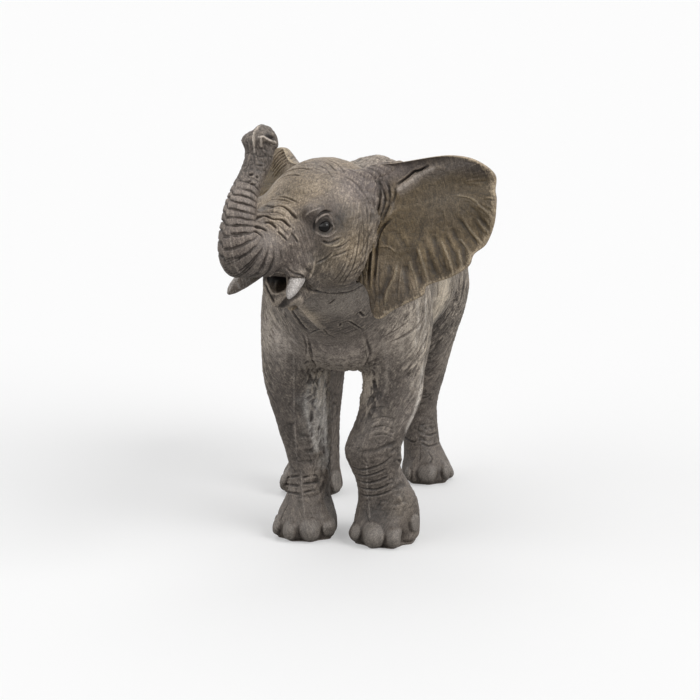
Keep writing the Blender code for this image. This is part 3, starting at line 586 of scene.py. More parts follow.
def head_relief(table):
    """Relief of the head in mm, and masks of its parts."""
    side, forward, rise = head_local(table)
    length, gap, outward = along_trunk(side, forward, rise)
    on_trunk = fade(length, 5.0, 9.5) * fade(gap, 8.5, 6.0)
    on_head = (1 - on_trunk) * fade(table[:, 1], -17.0, -22.0)
    wobble = noise(table, 3.5, 3)
    fine = noise(table, 1.1, 5)
    eye_gap = np.hypot(forward - EYE[1], (rise - EYE[2]) / 1.1) + fade(np.abs(side), 6.5, 4.5) * 9
    keep = fade(eye_gap, 1.8, 3.6)

    shifted = length + 0.12 * wobble + 0.09 * fine + 0.25 * np.sign(side) * fade(np.abs(side), 0.1, 0.3)
    rings = rows_of(shifted, 1.06, 7.0)
    outer = fade(outward, -1.8, 1.2)
    flank_face = fade(np.abs(side), 0.8, 2.2)
    upper = fade(length, 19.5, 22.5)
    calm = np.exp(-((forward - 14.0) ** 2 + (rise + 0.2) ** 2) / 2.7 ** 2)
    ring_depth = 0.44 * (0.25 + 0.75 * outer) * (0.65 + 0.35 * flank_face) * (1 - 0.85 * upper)
    relief = -on_trunk * (1 - 0.85 * calm) * ring_depth * rings * fade(noise(table, 1.8, 8), -1.3, 0.1)
    scales = creases(stretched(length, side, outward, 0.9, 0.7), 1.0, 0.13, 12)
    relief -= on_trunk * (0.05 + 0.07 * upper) * scales
    parting = np.exp(-((side - 0.3) / 0.13) ** 2) * fade(outward, 0.2, 1.0)
    relief += on_trunk * 0.12 * parting * fade(noise(table, 1.2, 9), -0.3, 0.2)

    crown = fade(rise, 2.0, 7.0) * fade(forward, -6.0, 0.0)
    sweep = combed(table, HEAD_AXES @ np.array((0.9, 0.2, 0.35)), 7.0)
    relief -= on_head * keep * 0.06 * crown * creases(sweep, 1.7, 0.08, 21) * fade(wobble, -0.1, 0.4)
    relief -= on_head * keep * 0.04 * noise(sweep, 0.7, 24)

    radius = np.hypot(forward - 3.4, (rise - 3.0) * 0.92)
    cheek = fade(np.abs(side), 3.5, 6.0) * fade(radius, 4.2, 6.2) * fade(forward, 4.0, 1.0)
    lines = rows_of(radius + 0.30 * wobble, 0.80, 3.5)
    broken = fade(noise(stretched(radius, forward, rise, 0.5, 3), 1.0, 22), -0.5, 0.4)
    relief -= on_head * cheek * 0.11 * lines * broken
    lips = fade(np.abs(side), 2.5, 4.5) * fade(forward, 5.5, 7.5) * fade(rise, 2.5, 0.0)
    spray = np.arctan2(rise + 9.5, forward - 7.0) * 7.0
    relief -= on_head * keep * lips * 0.045 * rows_of(spray + 0.35 * wobble, 0.60, 3.0)

    relief -= 0.05 * (on_head * keep * (1 - crown) + 0.4 * on_trunk) * creases(table, 0.8, 0.12, 31)
    relief += 0.025 * fine * keep
    socket = 0.30 * np.exp(-(eye_gap / 1.05) ** 2)
    relief -= on_head * socket
    return relief, {"trunk": on_trunk, "head": on_head, "eye": eye_gap, "forward": forward, "rise": rise}


# %% [markdown]
# A row of the next table is a groove: its width and depth in mm, and its path in pixels. A negative
# depth makes it a ridge.

# %% Strokes on the head
HEAD_STROKES = listed("""
    folds over the nose:
    0.17 0.44  260,208 265,206 273,207 280,206 287,209 293,215 297,219
    0.12 0.16  265,203 272,200 282,200 290,202
    0.12 0.2  277,198 283,197 290,199 298,203
    0.17 0.44  255,221 259,217 265,216 273,219 282,220 288,225 292,229
    0.11 0.12  262,213 270,212 279,213 286,217
    0.2 0.5  255,227 261,228 267,231
    0.16 0.34  254,231 258,233 263,237
    0.18 0.46  264,222.5 270,223 277,228.5
    0.14 0.34  277,231 283,236 287,241
    0.2 -0.16  261,212 268,210.5 276,210 284,212 290,218
    0.11 0.15  270,222 278,225 285,231 290,237
    0.13 0.22  291,233 295,238 298,243
    0.12 0.12  298,221 302,227 305,234
    crown:
    0.12 0.22  282,171 290,165 302,161 313,160
    0.13 0.26  281,176 289,171 300,168.5 312,170
    0.12 0.18  276,182 284,177 293,175 301,176
    0.11 0.16  290,166 298,163.5 308,163
    0.12 0.2  322,161 330,165 337,172
    0.12 0.18  328,160 338,165 345,173
    0.11 0.12  318,165 327,170 333,178
    trunk's end: parting line, lip of the nostril and small pits:
    0.15 -0.45  260,126 257,130 254.3,136 254.3,152
    0.15 -0.42  261,138 261,147
    0.34 0.45  265.5,134.5 270,137 275,139.5
    0.14 -0.24  259,138 264,137 269,140 276,142
    0.1 -0.12  244,139.5 249,137.5 254,137
    0.12 0.16  258,157 264,157
    0.12 0.2  256,165 262,166
    0.16 0.3  249,175 253,174.5
    0.16 0.28  256,176 258,178
    0.14 0.22  248,182 251,181
    0.14 0.26  251,184 256,185
    upper lid, lower lid and the bags under the eye:
    0.15 0.34  316.5,219 320,214.5 325,211.5 332,212.5
    0.12 -0.36  314.5,225 317,220.5 322,216 327,214.5 331,217 335,223
    0.1 -0.14  320,220 325,218 329,219 331.5,222
    0.11 -0.3  331,222 334,228 331.5,233 327,235
    0.12 -0.28  318,233.5 323,236 329,236 335,232
    0.13 0.28  313.5,231 314,225 315.5,220
    0.3 0.1  335,215 340,220 343,228
    0.12 -0.16  305,216 311,211.5 320,208.5
    0.14 0.32  322,241 328,243 334,241.5 341,238
    0.12 -0.2  324,245 330,246 337,245 344,240
    0.11 -0.18  331,240 337,237 343,236.5
    0.12 0.18  331,257 341,254 348,250
    0.12 -0.14  334,253 343,250 351,244
    0.12 0.14  334,248 342,246 350,240
    cheek and jaw:
    0.12 0.2  360,228 358,247 353,267 341,287
    0.11 0.12  356,240 352,258 345,273 337,285
    0.11 0.12  363,215 364,240 361,262 352,280
    0.11 0.09  350,245 346,262 339,275 329,284
    0.12 0.14  366,200 368,225 367,250 362,272
    0.16 -0.22  314,262 313,270 309,279
    0.12 -0.24  284,229.5 291,228.5 289,236 285,241
    0.12 -0.16  288,212 285,218 289,222
    0.16 0.18  316,263 325,259 333,252
    0.16 0.2  285,266 293,273 302,276 307,282
    lips, and the folds of the chin:
    0.13 -0.16  267,281 271,275 279,272.5 286,274
    0.14 -0.2  287,275 288,283 288,291
    0.13 -0.2  287,292 281,293 274,294 269,288 266,281
    0.14 -0.22  262,281 267,292 275,307
    0.16 0.26  265,284 270,295 275,303
    0.13 -0.14  276,308 282,301 288,294
    0.5 0.45  280,309 288,300 300,292
    0.2 0.3  306,287 318,291.5 336,293.5 352,291 365,284
""")

# %% [markdown]
# ## Relief of body and legs
# The hide of the flanks falls in slanting folds, the legs carry long lines that run together towards
# the knee, and the joints are ringed with short cross wrinkles. The toenails are smooth shields.

# %% Feet
# Nails that the camera sees: middle in pixels, half width and half height in mm
SEEN_NAILS = listed("""
    275.5,525 0.85 1.35; 287,531 1.35 1.5; 309,530 1.8 1.75; 329.5,527.5 1.4 1.35; 355.5,532 0.95 1.3
    374,536.5 1.7 2.15; 397.5,538 1.75 1.6; 415,522 1.15 1.4; 427,473 1.75 1.4; 446.5,470.5 1 1.2
    407,473 0.9 1.1; 336.5,481 1.45 1.8; 283,477 0.9 1.35
""")
# Nails on the far sides of the feet: middle of the sole in mm and turn in degrees
HIDDEN_NAILS = ((-13.5, -2.8, -80), (-16.7, 24.8, -70), (3.4, 37.0, 75))
HIDDEN_HALF_WIDTH, HIDDEN_HALF_HEIGHT = 1.1, 1.4
NAIL_PROUD, NAIL_GAP, SOLE_ROUND = 0.45, 0.24, 0.60
NAIL_LEVEL, FOOT_REACH = 1.9, 14


def nail_seats(piece):
    """Middle, outward direction, half width and half height of every nail."""
    seats = []
    for (pixel,), half_width, half_height in SEEN_NAILS:
        place, normal = met(piece, lens_place, sight(*pixel))
        if place is not None:
            outward = np.array((normal[0], normal[1], 0.0)) - 0.9 * sight(*pixel) * np.array((1, 1, 0))
            seats.append((place, outward / np.linalg.norm(outward), half_width, half_height))
    for x, y, turn in HIDDEN_NAILS:
        outward = np.array((math.sin(math.radians(turn)), -math.cos(math.radians(turn)), 0.0))
        start = np.array((x, y, NAIL_LEVEL)) + outward * FOOT_REACH
        place, _ = met(piece, start, -outward)
        if place is not None and (start - place) @ outward < FOOT_REACH:
            seats.append((place, outward, HIDDEN_HALF_WIDTH, HIDDEN_HALF_HEIGHT))
    return seats


def nails(piece, table):
    """Moves that raise the nails and sink the hide between them, and how far points lie on or beside one."""
    shift, beside = np.zeros_like(table), np.zeros_like(table)
    on_nail, in_gap = np.zeros(len(table)), np.zeros(len(table))
    for centre, outward, half_width, half_height in nail_seats(piece):
        sideways = np.array((outward[1], -outward[0], 0.0))
        offset = table - centre
        level = offset[:, 2] / (half_height * np.where(offset[:, 2] < 0, 1.25, 1.0))
        beside_middle = np.abs(offset @ sideways) / half_width
        r = (beside_middle ** 2.2 + np.abs(level) ** 2.2) ** (1 / 2.2)
        near = np.flatnonzero((np.abs(offset @ outward) < 2.6) & (r < 2.1))
        r, level, beside_middle = r[near], level[near], beside_middle[near]
        dome = np.sqrt(np.clip(1 - np.clip(r, 0, 1) ** 5, 0, 1)) * (1 - 0.2 * np.clip(level, -1, 1))
        shift[near] += (NAIL_PROUD * dome)[:, None] * outward
        on_nail[near] = np.maximum(on_nail[near], fade(r, 1.02, 0.95))
        gap = fade(r, 0.98, 1.08) * fade(r, 1.6, 1.15) * (0.35 + 0.65 * fade(level, 0.5, -0.3))
        gap *= 1 - fade(level, 0.0, -0.5) * fade(beside_middle, 0.95, 0.6)
        deeper = gap > in_gap[near]
        in_gap[near[deeper]] = gap[deeper]
        beside[near[deeper]] = outward
    in_gap *= 1 - on_nail
    return shift - beside * (NAIL_GAP * in_gap)[:, None], on_nail, in_gap


# %% Body relief
MIDDLE_X = -6.01


def body_relief(table, normals):
    """Relief of body and legs in mm."""
    x, y, z = table.T
    fore = fade(y, 14.0, 10.0)
    wobble = noise(table, 3.5, 43)
    fine = noise(table, 1.1, 45)

    mirrored = np.stack((np.abs(x - MIDDLE_X), y, z), axis=1)
    flat_side = fade(np.abs(normals[:, 0]), 0.66, 0.86)
    relief = np.zeros(len(table))
    outwards = np.abs(normals[:, 0]) + 0.5 * normals[:, 2] + 0.4 * (1 - fore)
    sides = fade(outwards, 0.25, 0.6) * fade(z, 18.0, 27.0)
    patches = fade(noise(table, 4.5, 47), -0.6, 0.3)
    for way, part in (((0.50, 0.40, 0.80), 1 - flat_side), ((0.04, 0.45, 0.89), 0.75 * flat_side)):
        slanted = combed(mirrored, way, 6.0)
        lines = 0.14 * patches * creases(slanted, 1.1, 0.16, 48) + 0.10 * noise(slanted, 0.62, 49)
        lines += 0.09 * creases(combed(mirrored, way, 12.0), 0.62, 0.16, 46)
        relief -= sides * part * lines

    front = fore * fade(z, 14.0, 22.0) * (1 - sides)
    upright = combed(mirrored, (0.25, 0.1, 1.0), 6.0)
    relief -= 0.07 * front * noise(upright, 0.7, 51) * patches
    inner = fade(mirrored[:, 0], 7.4, 5.6) * fore * fade(z, 38.0, 32.0)
    inner *= fade(z, 6.0, 12.0) * np.where(x > MIDDLE_X, fade(z, 21.0, 26.0), 1)
    rough = creases(combed(mirrored, (0, 0.2, 1.0), 2.2), 0.9, 0.30, 52)
    relief += inner * (0.26 * rough - 0.18 * noise(upright, 1.0, 54))

    level = combed(table, (1.0, 0.25, 0.05), 3.5)
    low_leg = fade(z, 5.0, 8.0) * fade(z, 27.0, 17.0)
    relief -= 0.13 * low_leg * creases(level, 0.95, 0.16, 55) * fade(noise(table, 3.0, 56), -0.5, 0.3)
    relief -= 0.05 * low_leg * noise(level, 0.6, 53)

    plain = fade(z, 2.5, 5.0)
    relief -= 0.055 * plain * creases(table, 0.9, 0.12, 57)
    relief += 0.035 * fine * plain
    return relief


# %% Strokes on the body
BODY_STROKES = listed("""
    ankle of the right forefoot, with the step at its parting line:
    0.16 0.34  282,478 290,477 300,476
    0.16 0.34  302,478 310,476 318,475
    0.16 0.34  283,484 291,485 300,486
    0.16 0.34  302,484 310,483 318,482
    0.16 0.32  286,492 293,493 300,494
    0.16 0.32  302,493 310,491 317,490
    0.16 0.22  288,504 284,512 280,520
    0.14 -0.16  296,504 292,512 289,519
    knee and ankle of the left foreleg:
    0.35 0.12  358,450 370,451 384,447 398,441
    0.17 0.24  350,466 360,470 372,468 384,463 392,456
    0.16 0.28  352,472 362,476 374,474 386,469
    0.16 0.3  355,479 366,483 378,481 389,476
    0.16 0.3  357,486 366,489 378,489 392,483
    0.15 0.26  358,493 368,496 382,494 394,489
    0.2 0.3  398,460 403,464 401,471
    0.12 0.12  368,410 378,407 392,408
    0.12 0.12  370,420 382,417 396,419
    0.12 0.14  370,428 383,426 394,429
    0.12 0.14  372,436 384,434 395,438
    0.12 0.1  374,438 379,444 387,439
    0.2 -0.2  398,495 402,505 399,515
    0.15 0.2  356,508 355,517 354,524
    0.12 0.16  366,512 368,519 370,523
    parting lines left by the mould:
    0.07 -0.07  294,352 294,390 295,430 297,465
    0.08 -0.12  302,474 302,488 303,500 305,516
    0.08 -0.1  367,455 367,475 368,495 370,518
    folds of the breast, and cracks along the glued neck:
    0.55 -0.45  296,296 304,309 315,321 324,330
    0.5 0.4  289,305 297,318 307,331
    0.14 0.26  309,334 317,330 323,329 328,334 336,338
    0.13 0.34  327,328 339,326 341,323 348,321 355,325 364,331
    0.16 0.3  329,304 332,302 335,299
    0.16 0.34  355,316 359,312 364,316 369,313
    0.24 0.17  365,333 367,342 370,353 366,362 362,368
    0.22 0.15  309,337 311,351 314,362 319,369
    0.15 0.14  303,335 306,345 306,356
    0.12 0.1  318,343 328,346 338,345
    shoulder and hind leg:
    0.2 0.2  427,310 419,325 404,336 388,343
    0.22 0.22  431,322 426,340 416,356
    0.14 0.16  412,318 398,329 382,338
    0.14 -0.2  428,338 424,352 415,364 407,372
    0.14 0.22  404,437 410,441 417,442
    0.14 0.22  421,434 430,435 439,432
    0.14 0.2  420,443 430,446 440,443
    0.14 0.2  428,452 432,458 430,463
    0.1 0.12  420,436 420,452 420,466
""")

# %% [markdown]
# ## Pulled clay
# Before the fine work, soft regions are pulled by a fraction of a millimetre, so that the outline from
# the camera's place meets the one in the photo. A row has the region's middle in pixels, its radius,
# and how far it goes to the right, up and towards the lens, in mm.

# %% Pull
PULLS = listed("""
    282,428 5 -0.55 0 0; 407,493 2.6 0.35 0 0; 445,452 3.5 -0.4 0 0; 285,494 2.6 0.85 0 0
    232,266 3.2 -0.85 -0.55 0; 325,164 5 0 -0.3 0; 349,455 3 -0.4 0 0; 219,226 3.4 0.7 0 0
    238,271 2.2 -0.1 -0.55 0; 342,163 3.2 0 -0.55 0; 463,290 6.5 0.75 0 0; 355,480 2.6 -0.5 0 0
    449,474 1.8 -0.55 0 0; 276,516 3.6 0.5 0 0; 411,541 1.7 -1.1 0 -1.4; 331,534 1.3 -0.3 0 -0.8
    352,541 1.3 0.3 0 -1.2; 377,160 3.6 0.2 0.45 0; 379,159 2.4 0 0.35 0; 357,162 2.4 0 -0.5 0
    416,532 2.2 -0.9 0 -1; 331,499 2 -0.9 0 0; 352,515 2 -0.45 0 0; 410,398 4.6 1.55 0 0
    401,428 3 0.75 0 0; 397,461 1.6 0.6 0 0
""")


def pulled(piece, pulls=PULLS):
    """Pull soft regions of a skin a little, as one pulls clay, to meet the outline in the photo."""
    table = points_of(piece)
    move = np.zeros_like(table)
    for (pixel,), radius, sideways, upwards, towards in pulls:
        place, _ = met(piece, lens_place, sight(*pixel))
        if place is not None:
            share = np.exp(-(np.linalg.norm(table - place, axis=1) / radius) ** 2)
            move += share[:, None] * (right * sideways + np.array((0, 0, 1)) * upwards + back * towards)
    set_points(piece, table + move)


# %% [markdown]
# The open mouth is a shallow hollow, pressed into the hide straight from the camera, over a rounded
# square. Its inside is painted shade: near-black at the top, brown towards the lower lip.

# %% Mouth
MOUTH_PIXEL, MOUTH_HALF_PIXELS, MOUTH_DEPTH = (276.5, 283), (10.5, 9.5), 0.8


def pixels_of(table):
    """Where the camera sees points, in pixels, and how far from it they are, in mm."""
    offset = table - lens_place
    depth = -offset @ back
    return (IMAGE_PIXELS / 2 + focal_pixels * (offset @ right) / depth,
            IMAGE_PIXELS / 2 - focal_pixels * (offset @ up) / depth, depth)


def in_mouth(piece, table):
    """How far each point lies in the open mouth, from 0 to 1."""
    near = pixels_of(met(piece, lens_place, sight(*MOUTH_PIXEL))[0][None])[2][0]
    x, y, depth = pixels_of(table)
    across = np.abs(x - MOUTH_PIXEL[0] + 0.12 * (y - MOUTH_PIXEL[1])) / MOUTH_HALF_PIXELS[0]
    level = np.abs(y - MOUTH_PIXEL[1]) / MOUTH_HALF_PIXELS[1]
    radius = (across ** 3 + level ** 3) ** (1 / 3)
    return fade(radius, 1.15, 0.95) * fade(depth, near - 2.9, near - 2.1) * (depth < near + 3.5)


# %% [markdown]
# The trunk ends in a finger over the nostrils, with a corner at each side. Its flat end is raised or
# lowered to that outline, given across the view in mm.

# %% Trunk's end
TIP_LIP = track("""
    -4.2,-1.2 -3.2,0 -2.4,0.75 -0.8,1.25 -0.1,2 0.5,2.3 1,2.25 1.9,1.75 2.3,1.2 3.1,0.35 3.45,-0.3 4.2,-1.5
""")
TIP_MIDDLE = (0.0, 11.4, 18.0)


def trunk_tip(table):
    """Shape the flat end of the trunk into its finger and its two corners."""
    side, forward, rise = head_local(table)
    length, gap, _ = along_trunk(side, forward, rise)
    offset = table - from_head(*TIP_MIDDLE)
    across = offset @ right
    toward = -offset @ np.array((back[0], back[1], 0)) / math.cos(ELEVATION)
    near = fade(gap, 8.5, 6.0) * fade(rise, 11.8, 17.8) * (length > 22)
    lip = np.interp(across, *np.array(TIP_LIP).T) - 2.3
    drop = 0.85 * lip + 0.25 * np.minimum(toward, 0)
    move = np.zeros_like(table)
    move[:, 2] = near * drop
    return move


# %% [markdown]
# ## Dabs and fine lines
# Soft dabs of colour go over the base coat, each with its middle in pixels, its radius in mm, its
# colour and its strength. Most give the paint's own tones; some are painted shade and some painted
# highlight. Fine lines have a width in mm, a colour, a strength and a path in pixels. Light ones on the
# parting lines, lids and lips are light paint and painted highlight on these raised lines.

# %% Dabs
# Painted shade: the dark dabs under the jaw (299,325) and on the cheek (319,266). Painted highlight: the
# light dabs along the back edge of the left shoulder and foreleg (418,335; 421,365; 418,390).
DABS = listed("""
    300,188 4.5 #98876f 0.7; 322,166 3.8 #675c52 0.85; 352,190 3.2 #8f847d 0.8; 350,172 2.5 #7b706a 0.7
    372,172 3.2 #6f645e 0.9; 386,170 2.6 #6b605a 0.9; 366,190 2.6 #756a64 0.8; 307,216 2.6 #5a504a 0.85
    322,226 3.6 #4b413b 0.75; 339,216 2.4 #241e1a 0.92; 343,225 1.5 #2e2722 0.75
    320.5,226 1.7 #191614 0.97; 331,239 1.5 #50473f 0.6; 325,211 1.4 #3b332d 0.7; 332,206 1.8 #5c524c 0.7
    318,246 2.4 #51473e 0.85; 319,266 2.4 #4d4436 0.8; 333,258 2 #5d5241 0.6; 354,248 3.6 #998870 0.8
    335,282 2.6 #776a59 0.6; 275,250 4 #7f756e 0.8; 295,262 2.6 #665b54 0.7; 272,212 3 #7c6f5f 0.6
    295,240 2.4 #665b53 0.7; 368,240 3 #6d6050 0.7; 365,185 2.5 #6d625d 0.6; 235,235 3.6 #83776e 0.8
    242,198 3.4 #968a81 0.85; 257,158 3.2 #574e48 0.8; 271,137 0.8 #2c2622 0.8; 340,305 5 #a0968c 0.9
    378,330 3.5 #756c63 0.7; 310,315 2.4 #aa9b88 0.85; 299,325 2.2 #443b32 0.7; 343,350 5 #92877e 0.9
    292,430 3 #4f4842 0.8; 300,400 3 #514a45 0.8; 400,335 4 #a2968a 0.7; 418,335 4 #bdb2a5 0.8
    384,396 3.6 #4a423d 0.8; 442,300 5 #e2d3bd 0.95; 272,337 4.2 #c3b8ae 0.9; 458,330 4 #9d9286 0.7
    450,352 4 #9b9084 0.7; 270,372 3.5 #6f665f 0.7; 380,513 3.6 #38322e 0.85; 378,160 4 #9d9084 0.8
    421,365 2.2 #948a80 0.7; 320,383 1.7 #b0aca7 0.85; 318,402 2 #b8b4af 0.9; 320,421 1.9 #b0aca7 0.9
    322,440 1.7 #a29e99 0.9; 325,460 1.4 #938f8a 0.8; 418,390 2.2 #b3a99f 0.85; 408,418 2.2 #9c9289 0.8
    385,425 2.6 #6f675f 0.6; 405,505 2.5 #857a6d 0.6
""")


def dabbed(piece, table, tint, dabs, soft):
    """Soft dabs of paint tones, painted shade and painted highlight where the camera sees them; those of the
    cheeks on both cheeks.
    """
    for (pixel,), radius, colour, strength in dabs:
        centre, _ = met(piece, lens_place, sight(*pixel))
        if centre is None:
            continue
        spots = [centre]
        side, forward, rise = (float(v[0]) for v in head_local(centre[None]))
        if centre[1] < -20 and 3.5 < side < 9.5:
            spots.append(from_head(-side, forward, rise))
        for spot in spots:
            share = strength * np.exp(-(np.linalg.norm(table - spot, axis=1) * soft / radius) ** 2)
            tint += (linear(colour) - tint) * share[:, None]


# %% Lines
# Painted highlight: the light lines along the back edge of the left shoulder and foreleg (x 407 to 426). The
# light lines on parting lines, lids and lips are light paint and painted highlight on these raised lines.
LINES = listed("""
    0.13 #c2b7ac 0.9  260,126 257,130 254.3,136 254.3,152
    0.12 #b5aaa0 0.85  261,138 261,147
    0.16 #c2b7ac 0.8  258,137 264,136.5 270,140 276,142
    0.12 #b5a99e 0.7  229,230 231.5,248 235,264 239,273
    0.1 #8f867f 0.7  294,352 294,390 295,430 297,465
    0.1 #9a9189 0.6  301,470 302,488 303,500 305,516
    0.1 #9a9189 0.6  367,455 367,475 368,495 370,518
    0.5 #bdb9b5 0.8  324,374 324,400 325,430 328,465
    0.4 #aaa6a1 0.7  310,382 306,405 311,430 317,450
    0.35 #35302d 0.7  317,385 313,402 311,420
    0.45 #e0d8ce 0.9  422,368 421,388 416,408 407,430
    0.4 #d3cabf 0.7  417,302 419,322 416,345
    0.35 #d3cabf 0.7  426,300 426,325 423,350
    0.5 #9d9389 0.6  384,345 388,365 385,390
    0.14 #a0968c 0.6  372,425 382,421 394,424
    0.14 #a0968c 0.6  371,433 381,430 393,434
    0.3 #b0a69c 0.6  400,446 402,458 399,470
    0.12 #a0948a 0.7  330,230 333.5,226 331,218 326,214.5 319,217 315.5,222
    0.12 #a0948a 0.7  316,232 322,236 330,235.5 336,231
    0.13 #a2957f 0.6  324,245 330,246 338,244 345,239
    0.14 #958a80 0.6  305,216 311,211.5 320,208
    0.14 #9a8d7c 0.6  314,262 313,270 309,279
    0.13 #9a8f84 0.6  266,281 271,275 279,272.5 286,274
    0.14 #a3988c 0.7  266,282 269,289 275,293.5 287,291.5
    0.16 #a3988a 0.6  263,284 268,295 275,307
""")


def lined(piece, table, tint, lines):
    """Paint fine lines where the camera sees them."""
    for pixels, width, colour, strength in lines:
        line = dropped(piece, pixels)
        if len(line) > 1:
            rows, gap, _ = near_line(table, line, 3 * width)
            share = strength * np.exp(-(gap / width) ** 2)
            tint[rows] += (linear(colour) - tint[rows]) * share[:, None]


# %% Base coat, dry brush, painted shade and painted highlight
def tints(table, normals, masks, on_nail, piece):
    """Base coat of every point of the hide, with dabs and fine lines of paint tones, painted shade and
    painted highlight.
    """
    z = table[:, 2]
    blot = 0.5 + 0.5 * np.clip(noise(table, 5.0, 61) + 0.5 * noise(table, 1.8, 62), -1, 1)
    tint = GREY_SKIN * (0.90 + 0.20 * blot)[:, None]
    upper = fade(normals[:, 2] + 0.35 * np.abs(normals[:, 0]), -0.1, 0.7) * fade(z, 32.0, 46.0)
    tint += (FLANK - tint) * (upper * (1 - masks["trunk"]) * (0.45 + 0.5 * blot))[:, None]
    tan = masks["head"] * fade(masks["rise"] + 0.5 * masks["forward"], 1.0, 6.5)
    tint += (TAN_SKIN - tint) * (tan * (0.35 + 0.5 * blot))[:, None]
    soft = 1 + 0.25 * noise(table, 1.5, 63)
    dabbed(piece, table, tint, DABS, soft)
    lined(piece, table, tint, LINES)
    tint += (NAIL_GREY - tint) * (0.85 * on_nail)[:, None]
    return tint


def highlight_and_brush_share(table, normals, masks, on_nail):
    """How much of the light dry-brushed coat, and of the painted highlight on ridges, each point gets."""
    z = table[:, 2]
    sides = fade(np.abs(normals[:, 0]) + 0.6 * normals[:, 2], 0.2, 0.7) * fade(z, 22.0, 32.0)
    share = 0.12 + 0.22 * fade(z, 18.0, 30.0) + 0.66 * sides * (1 - masks["head"]) * (1 - masks["trunk"])
    share += masks["head"] * 0.30 * fade(masks["eye"], 3.8, 6.0)
    return np.clip(share, 0, 1) * (1 - 0.7 * on_nail) * fade(masks["eye"], 2.0, 4.4)


def write_attributes(piece, relief, tint, brush_and_highlight):
    """Keep relief, tint and amount of dry-brushing and painted highlight on the mesh, for the paint to read.
    """
    for name, values in (("relief", relief), ("brush_and_highlight", brush_and_highlight)):
        layer = piece.data.attributes.new(name, "FLOAT", "POINT")
        layer.data.foreach_set("value", values.astype(np.float32))
    layer = piece.data.attributes.new("tint", "FLOAT_COLOR", "POINT")
    full = np.ones((len(tint), 4), np.float32)
    full[:, :3] = tint
    layer.data.foreach_set("color", full.ravel())


# %% [markdown]
# ## Carving
# The relief moves every point of the hide along its normal. It is also kept on the mesh as a number,
# because the paint follows it: dark wash settles in the grooves, and a nearly dry brush catches the
# ridges. Both also paint the shade in the grooves and the highlight on the ridges.


# %% Carve
def carved(piece):
    """Carve a skin; return its points and, for each of them, relief and paint."""
    pulled(piece)
    set_points(piece, points_of(piece) + trunk_tip(points_of(piece)))
    table, normals = points_of(piece), normals_of(piece)
    mouth = in_mouth(piece, table)
    if mouth.max() > 0:
        set_points(piece, table - back * (MOUTH_DEPTH * mouth)[:, None])
        table, normals = points_of(piece), normals_of(piece)
    relief_head, masks = head_relief(table)
    in_front = fade(table[:, 1], -17.0, -20.0)
    relief = relief_head * in_front + body_relief(table, normals) * (1 - in_front)
    for pixels, width, depth in HEAD_STROKES + BODY_STROKES:
        line = dropped(piece, pixels)
        scored(table, relief, line, width, depth)
        if len(line) and head_local(line)[0].mean() > 3.5 and line[:, 1].max() < -20:
            side, forward, rise = head_local(line)
            twin = np.array([from_head(-a, b, c) for a, b, c in zip(side, forward, rise)])
            scored(table, relief, twin, width, depth)
    shift, on_nail, in_gap = nails(piece, table)
    relief = relief * (1 - on_nail) - 0.06 * in_gap
    flat_normals = normals * np.array((1, 1, 0))
    shift -= flat_normals * (SOLE_ROUND * (1 - 0.5 * on_nail) * fade(table[:, 2], 1.2, 0.0) ** 2)[:, None]
    on_ground = fade(table[:, 2], -0.01, 0.12)
    relief *= 1 - 0.8 * mouth
    tint = tints(table, normals, masks, on_nail, piece)
    # painted shade inside the shallow mouth: near-black at the top, brown towards the lower lip
    inside = MOUTH_SHADE + (MOUTH_BROWN - MOUTH_SHADE) * fade(pixels_of(table)[1], 279, 288)[:, None]
    tint += (inside - tint) * fade(mouth, 0.25, 0.7)[:, None]
    # painted shade in the grooves round the toenails
    tint += (NAIL_GAP_SHADE - tint) * (0.34 * in_gap)[:, None]
    brush_and_highlight = highlight_and_brush_share(table, normals, masks, on_nail) * np.clip((tint.mean(1) - 0.025) / 0.06, 0.05, 1)
    moved = table + normals * (relief * on_ground)[:, None] + shift * on_ground[:, None]
    moved[:, 2] = np.maximum(moved[:, 2], 0)
    set_points(piece, moved)
    return moved, relief, tint, brush_and_highlight


def carried_over(piece, table, relief, tint, brush_and_highlight):
    """Give a cut moulding the relief and paint of the nearest point of the carved hide."""
    tree = KDTree(len(table))
    for i, place in enumerate(table):
        tree.insert(place, i)
    tree.balance()
    nearest = np.array([tree.find(place)[1] for place in points_of(piece)])
    write_attributes(piece, relief[nearest], tint[nearest], brush_and_highlight[nearest])


body_paint = carved(body_skin)
head_paint = carved(head_skin)
print("relief from", body_paint[1].min().round(2), "to", body_paint[1].max().round(2), "mm")

# %% [markdown]
# ## Back into mouldings
# The carved hide is cut along the same seams as the solids, but with a hairline gap, so that each
# moulding is a closed piece of its own and the joints stay as fine as on the real figure.

# %% Seams
CHEST_Y, BODY_LENGTH, BODY_WIDTH, BACK_HEIGHT = -18.0, 64.5, 34.0, 62.5
LEG_SEAM_X, LEG_GAP_X = 4.8, -1.2
HAIRLINE = 0.03
SHOULDER_SEAM_SHARES = track("""
    -0.23,-0.3 -0.23,0.62 -0.09,0.74 0.05,0.825 0.19,0.86 0.3,0.81 0.355,0.71 0.355,0.6 0.33,0.5
    0.33,-0.3
""")
HIP_SEAM_SHARES = track("""
    1.06,-0.3 1.06,0.5 1.02,0.67 0.95,0.785 0.84,0.84 0.71,0.8 0.635,0.7 0.61,0.6 0.6,0.5 0.59,0.4
    0.5,0.3 0.5,-0.3
""")
FORELEG_ROOM_SHARES = track("""
    -0.2,-0.25 -0.2,0.58 0,0.572 0.03,0.535 0.09,0.502 0.18,0.484 0.31,0.474 0.32,0.42 0.32,-0.25
""")
HIND_LEG_ROOM_SHARES = track("""
    1.04,-0.25 1.04,0.66 0.92,0.61 0.82,0.54 0.7,0.49 0.64,0.475 0.62,0.42 0.52,0.3 0.52,-0.25
""")
NECK_SEAM_SHARES = track("-0.01,0.665 0.11,1.06")


